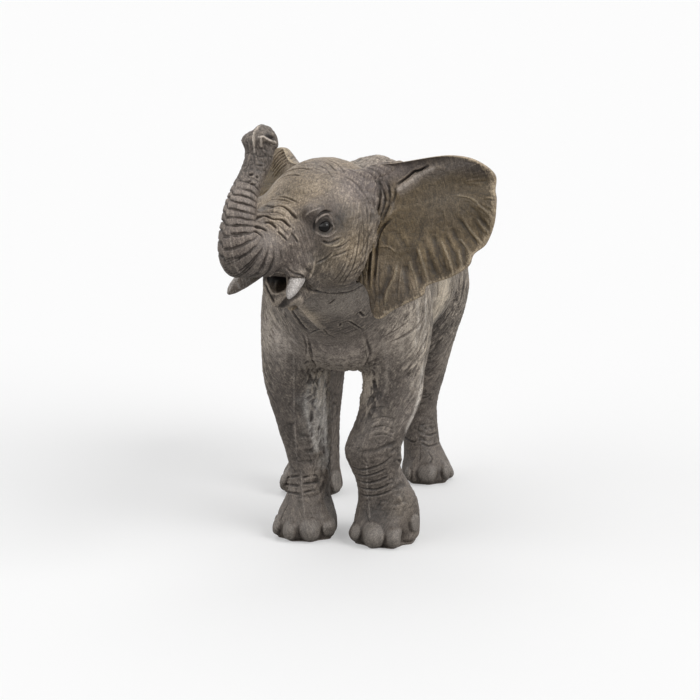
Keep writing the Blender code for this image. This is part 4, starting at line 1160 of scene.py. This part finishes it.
def prism(name, rings):
    """Closed block between two equal outlines."""
    count = len(rings[0])
    faces = [(j, (j + 1) % count, count + (j + 1) % count, count + j) for j in range(count)]
    faces += [tuple(range(count)), tuple(range(count, 2 * count))]
    return new_piece(name, np.array(rings[0] + rings[1]), faces)


def side_prism(name, outline, hand, inner_x, outer_x, clearance):
    """Block out to one side of the body over an outline seen from the side, grown by a clearance."""
    spots = [np.array((CHEST_Y + BODY_LENGTH * b, BACK_HEIGHT * u)) for b, u in outline]
    middle = sum(spots) / len(spots)
    rings = []
    for x in (inner_x - clearance, outer_x):
        ring = []
        for i, spot in enumerate(spots):
            tangent = spots[(i + 1) % len(spots)] - spots[i - 1]
            normal = np.array((tangent[1], -tangent[0])) / np.linalg.norm(tangent)
            if normal @ (spot - middle) < 0:
                normal = -normal
            moved = spot + normal * clearance
            ring.append((MIDDLE_X + hand * x, moved[0], moved[1]))
        rings.append(ring)
    return prism(name, rings)


def cut(piece, operation, tool):
    """Boolean of two closed pieces, after which the tool is gone."""
    applied(piece, ("BOOLEAN", {"operation": operation, "object": tool, "solver": "MANIFOLD"}))
    bpy.data.objects.remove(tool)
    return piece


def leg_cutter(upper, lower, hand, clearance):
    """Room of a leg: its shoulder or hip beside the body, and all of it below the belly."""
    rounded = [tuple(row) for row in smooth_rows(upper, 3 * len(upper))]
    top = side_prism("leg_cut", rounded, hand, LEG_SEAM_X, BODY_WIDTH, clearance)
    foot = side_prism("leg_cut_foot", lower, hand, hand * LEG_GAP_X, BODY_WIDTH * 0.8, clearance)
    return cut(top, "UNION", foot)


def neck_block(clearance):
    """Block in front of the neck seam, moved back by a clearance."""
    foot, top = (np.array((0, CHEST_Y + BODY_LENGTH * b, BACK_HEIGHT * u)) for b, u in NECK_SEAM_SHARES)
    rise = (top - foot) / np.linalg.norm(top - foot)
    rear = np.array((0, rise[2], -rise[1]))
    low = foot - rise * BODY_LENGTH + rear * clearance
    high = top + rise * BODY_LENGTH + rear * clearance
    rings = []
    for x in (-BODY_WIDTH, BODY_WIDTH):
        side = np.array((MIDDLE_X + x, 0, 0))
        rings.append([low + side, high + side, high + side - rear * BODY_LENGTH,
                      low + side - rear * BODY_LENGTH])
    return prism("neck_cut", rings)


# %% Mouldings
pieces = {"head": cut(head_skin, "INTERSECT", neck_block(-HAIRLINE))}
cut(body_skin, "DIFFERENCE", neck_block(HAIRLINE))
SEAMS = [(side + leg, *seam, hand)
         for leg, *seam in (("foreleg", SHOULDER_SEAM_SHARES, FORELEG_ROOM_SHARES),
                            ("hind_leg", HIP_SEAM_SHARES, HIND_LEG_ROOM_SHARES))
         for side, hand in (("left_", 1), ("right_", -1))]
for name, upper, lower, hand in SEAMS:
    leg = placed(name + "_hide", body_skin.data.copy())
    pieces[name] = cut(leg, "INTERSECT", leg_cutter(upper, lower, hand, -HAIRLINE))
for name, upper, lower, hand in SEAMS:
    cut(body_skin, "DIFFERENCE", leg_cutter(upper, lower, hand, HAIRLINE))
pieces["torso"] = body_skin
for name, piece in pieces.items():
    piece.name = name + "_hide"
    box = np.array((points_of(piece).min(0) - 1, points_of(piece).max(0) + 1))
    table, relief, tint, brush_and_highlight = head_paint if name == "head" else body_paint
    inside = np.all((table > box[0]) & (table < box[1]), axis=1)
    carried_over(piece, table[inside], relief[inside], tint[inside], brush_and_highlight[inside])
    print(piece.name, len(piece.data.polygons), "faces")

# %% [markdown]
# ## Ears
# Each ear is a thin spread shell. It is drawn on a grid that runs from its root to its rim, so folds
# and veins can be written straight in the ear's own plane.

# %% Ear shape
EAR_WIDTH, EAR_HEIGHT = 21.3, 27.5
EAR_RIM_THICKNESS, EAR_ROOT_THICKNESS = 0.9, 2.1
EAR_CUP, EAR_WAVE, EAR_TAB = 2.2, 0.7, 2.6
EAR_ROOT_TOP_SHARE, EAR_ROOT_FOOT_SHARE = 0.33, -0.29
EAR_ROOT_SIDE, EAR_ROOT_BACK, EAR_ROOT_LEAN_SHARE = 8.26, -3.8, 0.12
EAR_RIM_SHARES = track("""
    0,0.36 0.2,0.37 0.5,0.4 0.65,0.4 0.79,0.38 0.89,0.34 0.955,0.28 0.96,0.2 0.985,0.14 0.97,0.02
    0.9,-0.11 0.82,-0.165 0.79,-0.23 0.65,-0.295 0.46,-0.345 0.44,-0.395 0.32,-0.44 0.2,-0.485
    0.11,-0.53 0.05,-0.51 0.02,-0.44
""")
EAR_ROWS, EAR_COLUMNS = ((340, 120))
EAR_CELLS = [(p, p + 1, p + EAR_COLUMNS + 1, p + EAR_COLUMNS)
             for i in range(EAR_ROWS - 1) for p in range(i * EAR_COLUMNS, (i + 1) * EAR_COLUMNS - 1)]
# Sweep back of each ear and its twist from foot to top
EAR_SWEEPS = {1: (math.radians(28.0), 0.0), -1: (math.radians(13.0), math.radians(24.0))}

# %% Strokes on the near ear
EAR_STROKES = listed("""
    rolled top margin, and the ledge under it:
    0.15 0.55  399,184 405,180 410,176 416,171 421,170 429,165.5
    0.42 -0.3  396,192 403,186 411,181 419,175 432,169 445,166
    folds that run down from the root:
    0.19 0.46  381,178 383,190 381,202 377,215 374,230 373,250 371,272 370,288
    0.15 0.4  389,180 392,191 392,201 388,211 384,219
    0.14 0.34  384,184 387,196 385,208 381,219
    0.15 0.32  398,186 397,195 393,205
    0.14 0.3  376,184 375,198 373,214
    0.18 0.44  393,219 385,226 380,237 378,252 377,268 375,284
    0.2 -0.34  402,205 392,215 382,226 377,238 375,256 374,276 373,290
    0.15 -0.25  382,194 384,204 380,216 376,228
    0.15 -0.22  394,186 393,198 389,208
    veins, raised:
    0.12 -0.22  458,195 472,198 482,207 493,217
    0.12 -0.2  478,219 484,227 490,234
    0.12 -0.2  465,222 474,234 482,243
    0.12 -0.2  461,239 468,248 472,256
    0.12 -0.18  459,250 461,260 462,269
    0.12 -0.18  445,207 447,219 446,232
    0.12 -0.2  442,240 449,258 454,274
    0.12 -0.2  419,248 425,268 430,285
    0.11 -0.17  411,276 416,290 418,298
    0.12 -0.2  398,262 395,276 388,290 385,306
    0.11 -0.17  404,258 401,280 399,303
    0.13 -0.2  380,246 390,246 398,252
    0.13 -0.18  440,253 442,260 445,266
    0.14 -0.2  485,198 493,197
    valleys between the veins:
    0.4 0.15  470,205 480,216 488,226
    0.4 0.16  460,218 470,232 478,245
    0.4 0.16  452,226 460,242 467,258
    0.4 0.16  447,236 453,252 458,270
    0.42 0.15  432,232 440,252 447,274
    0.42 0.15  424,236 430,256 438,280
    0.42 0.15  412,240 416,262 424,288
    0.4 0.15  405,262 407,280 409,298
    0.4 0.15  391,262 389,280 380,300
    0.4 0.1  399,234 407,246 410,262
""")


# %% Ear sheet
def level_places(a, b):
    """Points in a plane."""
    return np.stack((a, b, np.zeros_like(a)), axis=1)


def ear_folds(a, b, share):
    """Folds of the ear's front, in mm, at a mm out from the root and b mm up."""
    flat = level_places(a, b)
    wobble = noise(flat, 4.0, 71)
    angle = np.arctan2(b - 6.4, a - 10.5)
    radius = np.hypot(b - 6.4, a - 10.5)
    outer = fade(radius, 3.0, 8.0) * fade(a, 3.0, 7.0)
    lower = fade(b, 7.0, 2.0)
    folds = 0.035 * np.cos(angle * 15 + 1.6 * wobble) * outer * (0.3 + 0.7 * lower)
    folds -= 0.07 * creases(level_places(angle * 9, radius / 6), 1.0, 0.12, 73) * outer
    folds -= 0.05 * noise(level_places(angle * 26, radius / 4), 1.0, 75) * outer
    folds -= fade(a, 5.0, 1.5) * 0.13 * creases(level_places(a + 0.10 * b, b / 5), 0.95, 0.16, 76)
    folds -= 0.05 * creases(flat, 1.2, 0.10, 77)
    margin = fade(share, 0.93, 0.985)
    folds += 0.10 * margin + 0.03 * noise(flat, 0.9, 74)
    return folds


def ear_sheet(hand, sweep, twist):
    """Places on the ear's middle sheet, the way it faces, and their places in its own plane."""
    rim = smooth_rows(EAR_RIM_SHARES, EAR_ROWS)
    turn = np.repeat(np.linspace(0, 1, EAR_ROWS), EAR_COLUMNS)
    share = np.tile(np.linspace(0, 1, EAR_COLUMNS), EAR_ROWS)
    out = np.repeat(rim[:, 0], EAR_COLUMNS)
    level = np.repeat(rim[:, 1], EAR_COLUMNS)
    root_up = EAR_ROOT_TOP_SHARE + (EAR_ROOT_FOOT_SHARE - EAR_ROOT_TOP_SHARE) * turn
    sideways = EAR_WIDTH * out * share - EAR_TAB * (1 - share) ** 4
    upwards = EAR_HEIGHT * (root_up + (level - root_up) * share)
    upwards -= 2.8 * (1 - share) ** 3 * fade(turn, 0.15, 0.0)
    cup = -EAR_CUP * np.sin(np.pi * share * 0.85) * np.sin(np.pi * np.minimum(1, 0.15 + turn))
    wave = EAR_WAVE * np.sin(turn * np.pi * 11) * share ** 3 * np.sin(np.pi * turn)
    turned = sweep + twist * upwards / EAR_HEIGHT
    lateral = level_places(hand * np.cos(turned), np.sin(turned))
    facing = level_places(hand * np.sin(turned), -np.cos(turned))
    lean = -(EAR_ROOT_BACK - upwards * EAR_ROOT_LEAN_SHARE)
    root = np.stack((np.full_like(share, hand * EAR_ROOT_SIDE), lean, upwards), axis=1)
    middle = root + lateral * sideways[:, None] + facing * (cup + wave)[:, None]
    return middle, facing, sideways, upwards, share, turn


def in_figure(table):
    """Points of the head's axes placed in the figure."""
    return table @ HEAD_AXES.T + HEAD_CENTRE


def ear_relief():
    """Folds of an ear, with the strokes seen on the left one."""
    middle, facing, sideways, upwards, share, turn = ear_sheet(1, *EAR_SWEEPS[1])
    relief = ear_folds(sideways, upwards, share)
    table = in_figure(middle)
    sheet = new_piece("ear_sheet", table, EAR_CELLS)
    for pixels, width, depth in EAR_STROKES:
        scored(table, relief, dropped(sheet, pixels), width, depth)
    bpy.data.objects.remove(sheet)
    return relief


EAR_RELIEF = ear_relief()

# %% [markdown]
# The far ear shows only its top behind the trunk. Its folds fan out from the root, and its edge is
# pulled down a little to the outline in the photo. Both ears get dabs; the near ear also gets fine lines.

# %% Far ear and ear paint
FAR_EAR_STROKES = [(((270.5 + 0.4 * i, 164 + 3.2 * i), (277 + 1.2 * i, 154 + 2.6 * i),
                     (284 + 2.5 * i, 149.5 + 2.0 * i)), 0.10, 0.24) for i in range(6)]
FAR_EAR_STROKES += listed("""
    0.1 0.22 280,166 288,156 295,152.5; 0.1 0.22 284,167 291,158 298,156; 0.1 0.22 277,160 284,152 290,149
""")
FAR_EAR_PULLS = listed("296,155 5.5 -0.4 -1.1 0; 278,152 3 0 0.35 0")
EAR_DABS = listed("""
    376,173 2.6 #71665f 0.9; 392,167 2.4 #6e635d 0.9; 410,163 2.4 #675c56 0.8; 425,161 2.2 #5f554e 0.7
    386,187 1.3 #463c37 0.7; 369,200 2.4 #6f6460 0.8; 405,186 0.9 #8f8680 0.7; 415,179 0.8 #857b74 0.6
    440,200 5 #594f42 0.6; 400,300 4.5 #62574a 0.5; 385,262 2.5 #5f5343 0.5
""")
FAR_EAR_DABS = listed("291,155 2.6 #74685b 0.9; 284,150 1.8 #81745f 0.6")
# Painted shade: the near-black line in the groove under the rolled top margin. The light line on the ledge
# below it is light paint and painted highlight.
EAR_LINES = listed("""
    0.42 #9a918a 0.75  398,190 405,185.5 413,180 422,174 432,169.5
    0.14 #1d1815 0.9  399,184 405,180 410,176 416,171 421,170 429,165.5
    0.14 #a0968c 0.7  381,186 384,202 383,212
    0.14 #958a7d 0.6  392,194 393,206 390,214
    0.14 #8f836f 0.55  419,250 425,268 430,285
    0.14 #8f836f 0.55  442,242 449,258 454,274
    0.13 #8f836f 0.55  459,250 461,260 463,269
    0.13 #8f836f 0.55  461,239 468,248 473,256
    0.14 #8f836f 0.6  465,222 474,234 483,243
    0.13 #8f836f 0.6  478,219 484,227 491,234
    0.14 #8f836f 0.6  458,195 472,198 482,207 494,217
    0.14 #877b66 0.5  398,262 395,276 388,290 385,306
    0.13 #877b66 0.5  410,262 416,280 419,298
    0.16 #a89c8a 0.7  384,312 396,311 410,303 425,295 431,291
    0.16 #b5a997 0.8  433,285 445,282 456,277 468,267
""")


# %% Ear shells
def ear(name, hand):
    """Ear shell with its folds, rim and root tab."""
    middle, facing, sideways, upwards, share, turn = ear_sheet(hand, *EAR_SWEEPS[hand])
    folds = EAR_RELIEF
    rim_round = np.sqrt(np.clip(1 - np.clip((share - 0.975) / 0.025, 0, 1) ** 2, 0, 1))
    half = (EAR_ROOT_THICKNESS + (EAR_RIM_THICKNESS - EAR_ROOT_THICKNESS) * share) / 2
    half = half * (0.25 + 0.75 * rim_round)
    swell = 0.7 * fade(share, 0.50, 0.05) * fade(turn, 0.40, 0.05)
    front = in_figure(middle + facing * (half + swell + folds)[:, None])
    rear = in_figure(middle - facing * (half - 0.35 * folds)[:, None])
    size = EAR_ROWS * EAR_COLUMNS
    faces = []
    for p, q, r, s in EAR_CELLS:
        faces += [(p, q, r, s), (size + s, size + r, size + q, size + p)]
    edge = [i * EAR_COLUMNS for i in range(EAR_ROWS)]
    edge += [(EAR_ROWS - 1) * EAR_COLUMNS + j for j in range(1, EAR_COLUMNS)]
    edge += [i * EAR_COLUMNS + EAR_COLUMNS - 1 for i in range(EAR_ROWS - 2, -1, -1)]
    edge += list(range(EAR_COLUMNS - 2, 0, -1))
    for p, q in zip(edge, edge[1:] + edge[:1]):
        faces.append((p, q, size + q, size + p))
    piece = new_piece(name, np.vstack((front, rear)), faces)
    flat = level_places(sideways, upwards)
    blot = 0.5 + 0.5 * np.clip(noise(flat, 4.0, 78) + 0.5 * noise(flat, 1.5, 79), -1, 1)
    tint = EAR_BROWN * (0.88 + 0.24 * blot)[:, None]
    top = EAR_RIM if hand > 0 else TAN_SKIN
    tint += (top - tint) * fade(upwards + 1.0 * blot, 7.0, 9.5)[:, None]
    tint += (EAR_LOW - tint) * (0.7 * fade(upwards, -4.0, -9.0))[:, None]
    tint += (TAN_SKIN - tint) * (0.75 * fade(share, 0.965, 0.995))[:, None]
    tint += (GREY_SKIN - tint) * (fade(sideways, 4.0, 1.0) * fade(upwards, 2.0, 8.0))[:, None]
    rear_tint = GREY_SKIN + (TAN_SKIN - GREY_SKIN) * (0.2 + 0.4 * blot)[:, None]
    brush_and_highlight = 0.15 + 0.85 * fade(share, 0.90, 0.985)
    relief = np.concatenate((folds, 0.35 * folds))
    tint = np.vstack((tint, rear_tint))
    soft = np.tile(1 + 0.25 * noise(flat, 1.5, 63), 2)
    if hand > 0:
        dabbed(piece, points_of(piece), tint, EAR_DABS, soft)
        lined(piece, points_of(piece), tint, EAR_LINES)
    else:
        pulled(piece, FAR_EAR_PULLS)
        table, normals = points_of(piece), normals_of(piece)
        dabbed(piece, table, tint, FAR_EAR_DABS, soft)
        lines = np.zeros(len(table))
        for pixels, width, depth in FAR_EAR_STROKES:
            scored(table, lines, dropped(piece, pixels), width, depth)
        set_points(piece, table + normals * lines[:, None])
        relief += lines
    write_attributes(piece, relief, tint, np.concatenate((brush_and_highlight, brush_and_highlight + 0.1)))
    return piece


pieces["left_ear"] = ear("left_ear_shell", 1)
pieces["right_ear"] = ear("right_ear_shell", -1)
print("ears reach", points_of(pieces["left_ear"]).max(0).round(1), "mm")

# %% [markdown]
# ## Eyes
# An eye is a drop of glossy black paint on a moulded ball. It is modelled as a small dome, so that it
# catches the light as the drop does.


# %% Eyes
# Half outline of a drop of paint: distance from its middle and height, as shares of its radius
DROP_SHARES = track("""0,1.03 0.22,1 0.45,0.9 0.66,0.73 0.82,0.52 0.92,0.3 0.98,0.12
    1.06,0.02 1.02,-0.12 0.8,-0.3 0.4,-0.42 0,-0.45""")
EYE_SIDES = 48
EYE_SUNK = 0.36


def drop(name, centre, outward, radius):
    """Drop of paint with a bulged middle and a thin rim, turned from its half outline."""
    profile = smooth_rows(DROP_SHARES, 40) * radius
    across = np.cross(outward, (0, 0, 1))
    across /= np.linalg.norm(across)
    upright = np.cross(across, outward)
    turns = np.linspace(0, 2 * math.pi, EYE_SIDES, endpoint=False)
    rings = [centre + outward * height + np.outer(np.cos(turns) * reach, across)
             + np.outer(np.sin(turns) * reach * 0.94, upright) for reach, height in profile[1:-1]]
    top, foot = ((centre + outward * profile[end, 1])[None] for end in (0, -1))
    table = np.vstack([top, *rings, foot])
    last = len(table) - 1
    faces = []
    for j in range(EYE_SIDES):
        k = (j + 1) % EYE_SIDES
        faces += [(0, 1 + k, 1 + j), (last, last - EYE_SIDES + j, last - EYE_SIDES + k)]
        for i in range(len(rings) - 1):
            a = 1 + i * EYE_SIDES
            faces.append((a + j, a + k, a + EYE_SIDES + k, a + EYE_SIDES + j))
    return new_piece(name, table, faces)


eyes = []
for hand, name in ((1, "left_eye_paint"), (-1, "right_eye_paint")):
    start = from_head(hand * 16, EYE[1] + 1.2, EYE[2])
    aim = from_head(0, EYE[1] - 0.6, EYE[2]) - start
    inward = aim / np.linalg.norm(aim)
    centre = met(pieces["head"], start, inward)[0] + inward * EYE_SUNK
    eyes.append(drop(name, centre, -inward, EYE_RADIUS))
    print(name, centre.round(2))

# %% [markdown]
# ## Tusks and tail
# Tusks and tail keep the solid's shape. They only need finer faces and a little brushwork.


# %% Tusks and tail
def finer(name, node, voxel, smoothing):
    """Fine copy of a small moulding."""
    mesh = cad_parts[node].data.copy()
    piece = placed(name, mesh)
    shape = bmesh.new()
    shape.from_mesh(mesh)
    bmesh.ops.remove_doubles(shape, verts=shape.verts, dist=0.002 * MM)
    shape.to_mesh(mesh)
    shape.free()
    return applied(piece, ("REMESH", {"mode": "VOXEL", "voxel_size": voxel * MM}),
                   ("SMOOTH", {"factor": 0.5, "iterations": smoothing}))


for hand, node in ((1, "left_tusk"), (-1, "right_tusk")):
    tusk = finer(node + "_point", node, 0.10, 8)
    table = points_of(tusk)
    side, forward, rise = head_local(table)
    relief = 0.03 * noise(stretched(side, forward - rise, rise, 0.5, 2.0), 1.0, 81)
    shaped = table + normals_of(tusk) * relief[:, None]
    if hand > 0:
        tip = shaped[shaped[:, 2].argmin()]
        offset = shaped - tip
        shaped = tip + right * -0.75 + up * 0.2 + (0.80 * (offset @ right))[:, None] * right
        shaped += (0.66 * (offset @ up))[:, None] * up + (0.9 * (offset @ back))[:, None] * back
    else:
        shaped += right * -0.5
    set_points(tusk, shaped)
    # outer faces painted white over the grey PVC; on the far, right tusk the white is cut to 0.30 as painted
    # shade
    outer = fade(normals_of(tusk) @ (HEAD_AXES @ np.array((hand * 1.0, -0.45, 0.0))), -0.25, 0.25)
    tint = TUSK_GREY + (TUSK_WHITE - TUSK_GREY) * (outer * (1.0 if hand > 0 else 0.30))[:, None]
    write_attributes(tusk, relief, tint, 0.5 + 0 * relief)
    pieces[node] = tusk

tail = finer("tail_hide", "tail", 0.14, 5)
table = points_of(tail)
x, y, z = table.T
strands = rows_of(np.arctan2(y - y.mean(), x - x.mean()) * 1.5, 0.55, 1.5)
tuft = fade(z, z.min() + 8, z.min() + 5)
relief = -0.10 * strands * tuft - 0.08 * (1 - tuft) * rows_of(z, 0.9, 2.0, 0.2 * noise(table, 2.0, 83))
set_points(tail, table + normals_of(tail) * relief[:, None])
write_attributes(tail, relief, GREY_SKIN * (1 - 0.45 * tuft)[:, None], 0.3 + 0 * relief)
pieces["tail"] = tail

# %% [markdown]
# ## Painted PVC
# The figure is moulded in soft PVC and painted matt: a base coat, a dark wash that settles in the
# grooves, and a light coat dry-brushed over the ridges. Wash and light coat also paint the shade in the
# grooves and the highlight on the ridges, and the coat is painted lighter on raised hide and darker in
# hollows as painted shade and highlight. PVC has an index of about 1.53, and matt paint on it is rough,
# so it shows only a broad soft sheen.

# %% Painted hide
PVC_IOR = 1.53
FLANK_HAIR_WAY = (0.04, 0.45, 0.89)
HAIR_DRAWN_OUT = 8


def ranged(tree, value, low, high, to_low=0.0, to_high=1.0):
    """Map a value from one range to another, held at its ends."""
    limits = {"From Min": low, "From Max": high, "To Min": to_low, "To Max": to_high}
    return fed(tree, add_node(tree, "ShaderNodeMapRange", {"Value": value}), limits).outputs[0]


def lumps(tree, place, size, detail, roughness=0.5):
    """Noise whose lumps measure size mm."""
    return add_node(tree, "ShaderNodeTexNoise", {"Vector": place}, Scale=1 / (size * MM), Detail=detail,
                    Roughness=roughness).outputs["Fac"]


def kept(tree, name, output="Fac"):
    """What the carving kept on the mesh under a name."""
    return add_node(tree, "ShaderNodeAttribute", attribute_name=name).outputs[output]


def hairs(tree, place, way, size):
    """Noise drawn out along a direction, the same on both sides of the body."""
    parts = add_node(tree, "ShaderNodeSeparateXYZ", {"Vector": place})
    off_middle = number(tree, "ABSOLUTE", number(tree, "SUBTRACT", parts.outputs[0], MIDDLE_X * MM))
    folded = add_node(tree, "ShaderNodeCombineXYZ", {0: off_middle, 1: parts.outputs[1], 2: parts.outputs[2]})
    turned = add_node(tree, "ShaderNodeMapping", {"Vector": folded.outputs[0]}, vector_type="TEXTURE")
    turned.inputs["Rotation"].default_value = Vector(way).to_track_quat("Z", "Y").to_euler()
    turned.inputs["Scale"].default_value = (1, 1, HAIR_DRAWN_OUT)
    return lumps(tree, turned.outputs[0], size, 2.0, 0.6)


def hair_by_side(tree, place, way, size):
    """Hair along a way, but along the flank where the hide faces sideways."""
    normal = add_node(tree, "ShaderNodeNewGeometry").outputs["Normal"]
    facing = add_node(tree, "ShaderNodeSeparateXYZ", {"Vector": normal}).outputs[0]
    sideways = ranged(tree, number(tree, "ABSOLUTE", facing), 0.66, 0.86)
    ways = {"A": hairs(tree, place, way, size), "B": hairs(tree, place, FLANK_HAIR_WAY, size)}
    return add_node(tree, "ShaderNodeMix", {"Factor": sideways, **ways}).outputs[0]


def painted_pvc(name, way, wash_and_shade, brush_and_highlight, highlight_and_brush_colour, roughness, grain, liner):
    """Base coat from the tint, dark wash and painted shade in the grooves, dry-brushed light coat and painted
    highlight on the ridges.
    """
    material = bpy.data.materials.new(name)
    tree = empty_tree(material)
    place = add_node(tree, "ShaderNodeTexCoord").outputs["Object"]
    tint, relief, share = kept(tree, "tint", "Color"), kept(tree, "relief"), kept(tree, "brush_and_highlight")
    streaks, speckle = lumps(tree, place, 0.45, 4.0, 0.65), lumps(tree, place, 0.21, 3.0, 0.7)
    hair = hair_by_side(tree, place, way, 0.30)
    away = number(tree, "ABSOLUTE", number(tree, "SUBTRACT", hair_by_side(tree, place, way, 0.62), 0.5))
    lines = ranged(tree, away, 0.0, 0.045, 1.0, 0.0)
    level = number(tree, "MULTIPLY_ADD", hair, 0.65, number(tree, "MULTIPLY", streaks, 0.35))
    level = number(tree, "MULTIPLY_ADD", relief, 1.3, level)

    # the wash darkens grooves and pores, as dark paint and as painted shade
    groove = number(tree, "MULTIPLY", ranged(tree, relief, -0.015, -0.16), wash_and_shade)
    pores = number(tree, "MULTIPLY", ranged(tree, level, 0.47, 0.34), 0.42 * wash_and_shade)
    dark = mixed_colour(tree, number(tree, "MAXIMUM", groove, pores), tint, (0.30, 0.27, 0.25, 1),
                        blend_type="MULTIPLY")

    # the dry brush lightens ridges and hairs, as light paint and as painted highlight
    worked = number(tree, "MULTIPLY", ranged(tree, share, 0.30, 0.85), liner)
    caught = number(tree, "MAXIMUM", ranged(tree, level, 0.50, 0.62), number(tree, "MULTIPLY", lines, worked))
    ridge = number(tree, "MULTIPLY", caught, number(tree, "MULTIPLY", share, brush_and_highlight))
    light = mixed_colour(tree, ridge, dark, (*linear(highlight_and_brush_colour), 1))

    # uneven paint: clouds, speckle and hair; by height, painted shade in hollows and painted highlight on
    # raised hide
    gain = number(tree, "MULTIPLY", ranged(tree, lumps(tree, place, 5.0, 3.0), 0.3, 0.7, 0.88, 1.12),
                  ranged(tree, speckle, 0.37, 0.63, 0.64, 1.36))
    gain = number(tree, "MULTIPLY", gain, ranged(tree, hair, 0.40, 0.60, 0.88, 1.12))
    gain = number(tree, "MULTIPLY", gain, ranged(tree, relief, -0.10, 0.16, 0.86, 1.26))
    coat = add_node(tree, "ShaderNodeVectorMath", {0: light, 3: gain}, operation="SCALE").outputs[0]

    height = number(tree, "MULTIPLY_ADD", hair, 0.8, number(tree, "MULTIPLY", speckle, 0.5))
    bump = add_node(tree, "ShaderNodeBump", {"Height": height}, Strength=grain, Distance=0.14 * MM)
    rough = ranged(tree, streaks, 0.2, 0.8, roughness - 0.12, roughness + 0.12)
    look = {"Base Color": coat, "Roughness": rough, "Normal": bump.outputs[0]}
    shader = add_node(tree, "ShaderNodeBsdfPrincipled", look, IOR=PVC_IOR)
    add_node(tree, "ShaderNodeOutputMaterial", {"Surface": shader.outputs[0]})
    return material


BODY_HAIR_WAY, HEAD_HAIR_WAY, EAR_HAIR_WAY = (0.45, 0.35, 0.85), (0.25, 0.25, 0.95), (0.3, 0.1, -0.9)
body_coat = painted_pvc("moulded_pvc_hide_with_wash_brush_and_painted_light", BODY_HAIR_WAY, 0.9, 0.75, "#b9ad9d", 0.55, 0.9, 0.9)
head_coat = painted_pvc("moulded_pvc_head_with_wash_brush_and_painted_light", HEAD_HAIR_WAY, 0.9, 0.50, "#b8aa98", 0.55, 0.7, 0.3)
ear_coat = painted_pvc("moulded_pvc_ear_with_wash_brush_and_painted_light", EAR_HAIR_WAY, 0.7, 0.7, "#a09078", 0.55, 0.4, 0.2)
tusk_coat = painted_pvc("moulded_pvc_painted_tusk", HEAD_HAIR_WAY, 0.4, 0.5, "#dcd8d4", 0.40, 0.3, 0.0)

# %% [markdown]
# The eye paint is a gloss enamel: black, smooth, with a clear highlight.

# %% Eye enamel
eye_paint = bpy.data.materials.new("gloss_black_enamel")
eye_paint.use_nodes = True
tree = eye_paint.node_tree
shader = tree.nodes["Principled BSDF"]
depth = lumps(tree, add_node(tree, "ShaderNodeTexCoord").outputs["Object"], 0.8, 2.0)
black = mixed_colour(tree, depth, (*linear("#070606"), 1), (*linear("#12100f"), 1))
fed(tree, shader, {"Base Color": black, "Roughness": 0.14, "IOR": 1.40})

# %% [markdown]
# ## Dressing the frame
# Each dressed piece rides on the figure's one body and takes the place of its node.

# %% Dress
for name, piece in pieces.items():
    is_ear, is_tusk = name.endswith("_ear"), name.endswith("_tusk")
    paint = ear_coat if is_ear else tusk_coat if is_tusk else head_coat if name == "head" else body_coat
    piece.data.materials.clear()
    piece.data.materials.append(paint)
    piece.data.polygons.foreach_set("material_index", np.zeros(len(piece.data.polygons), np.int32))
    piece.data.shade_smooth()
    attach(piece, "root")
    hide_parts(name)
for eye in eyes:
    eye.data.materials.append(eye_paint)
    eye.data.shade_smooth()
    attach(eye, "root")
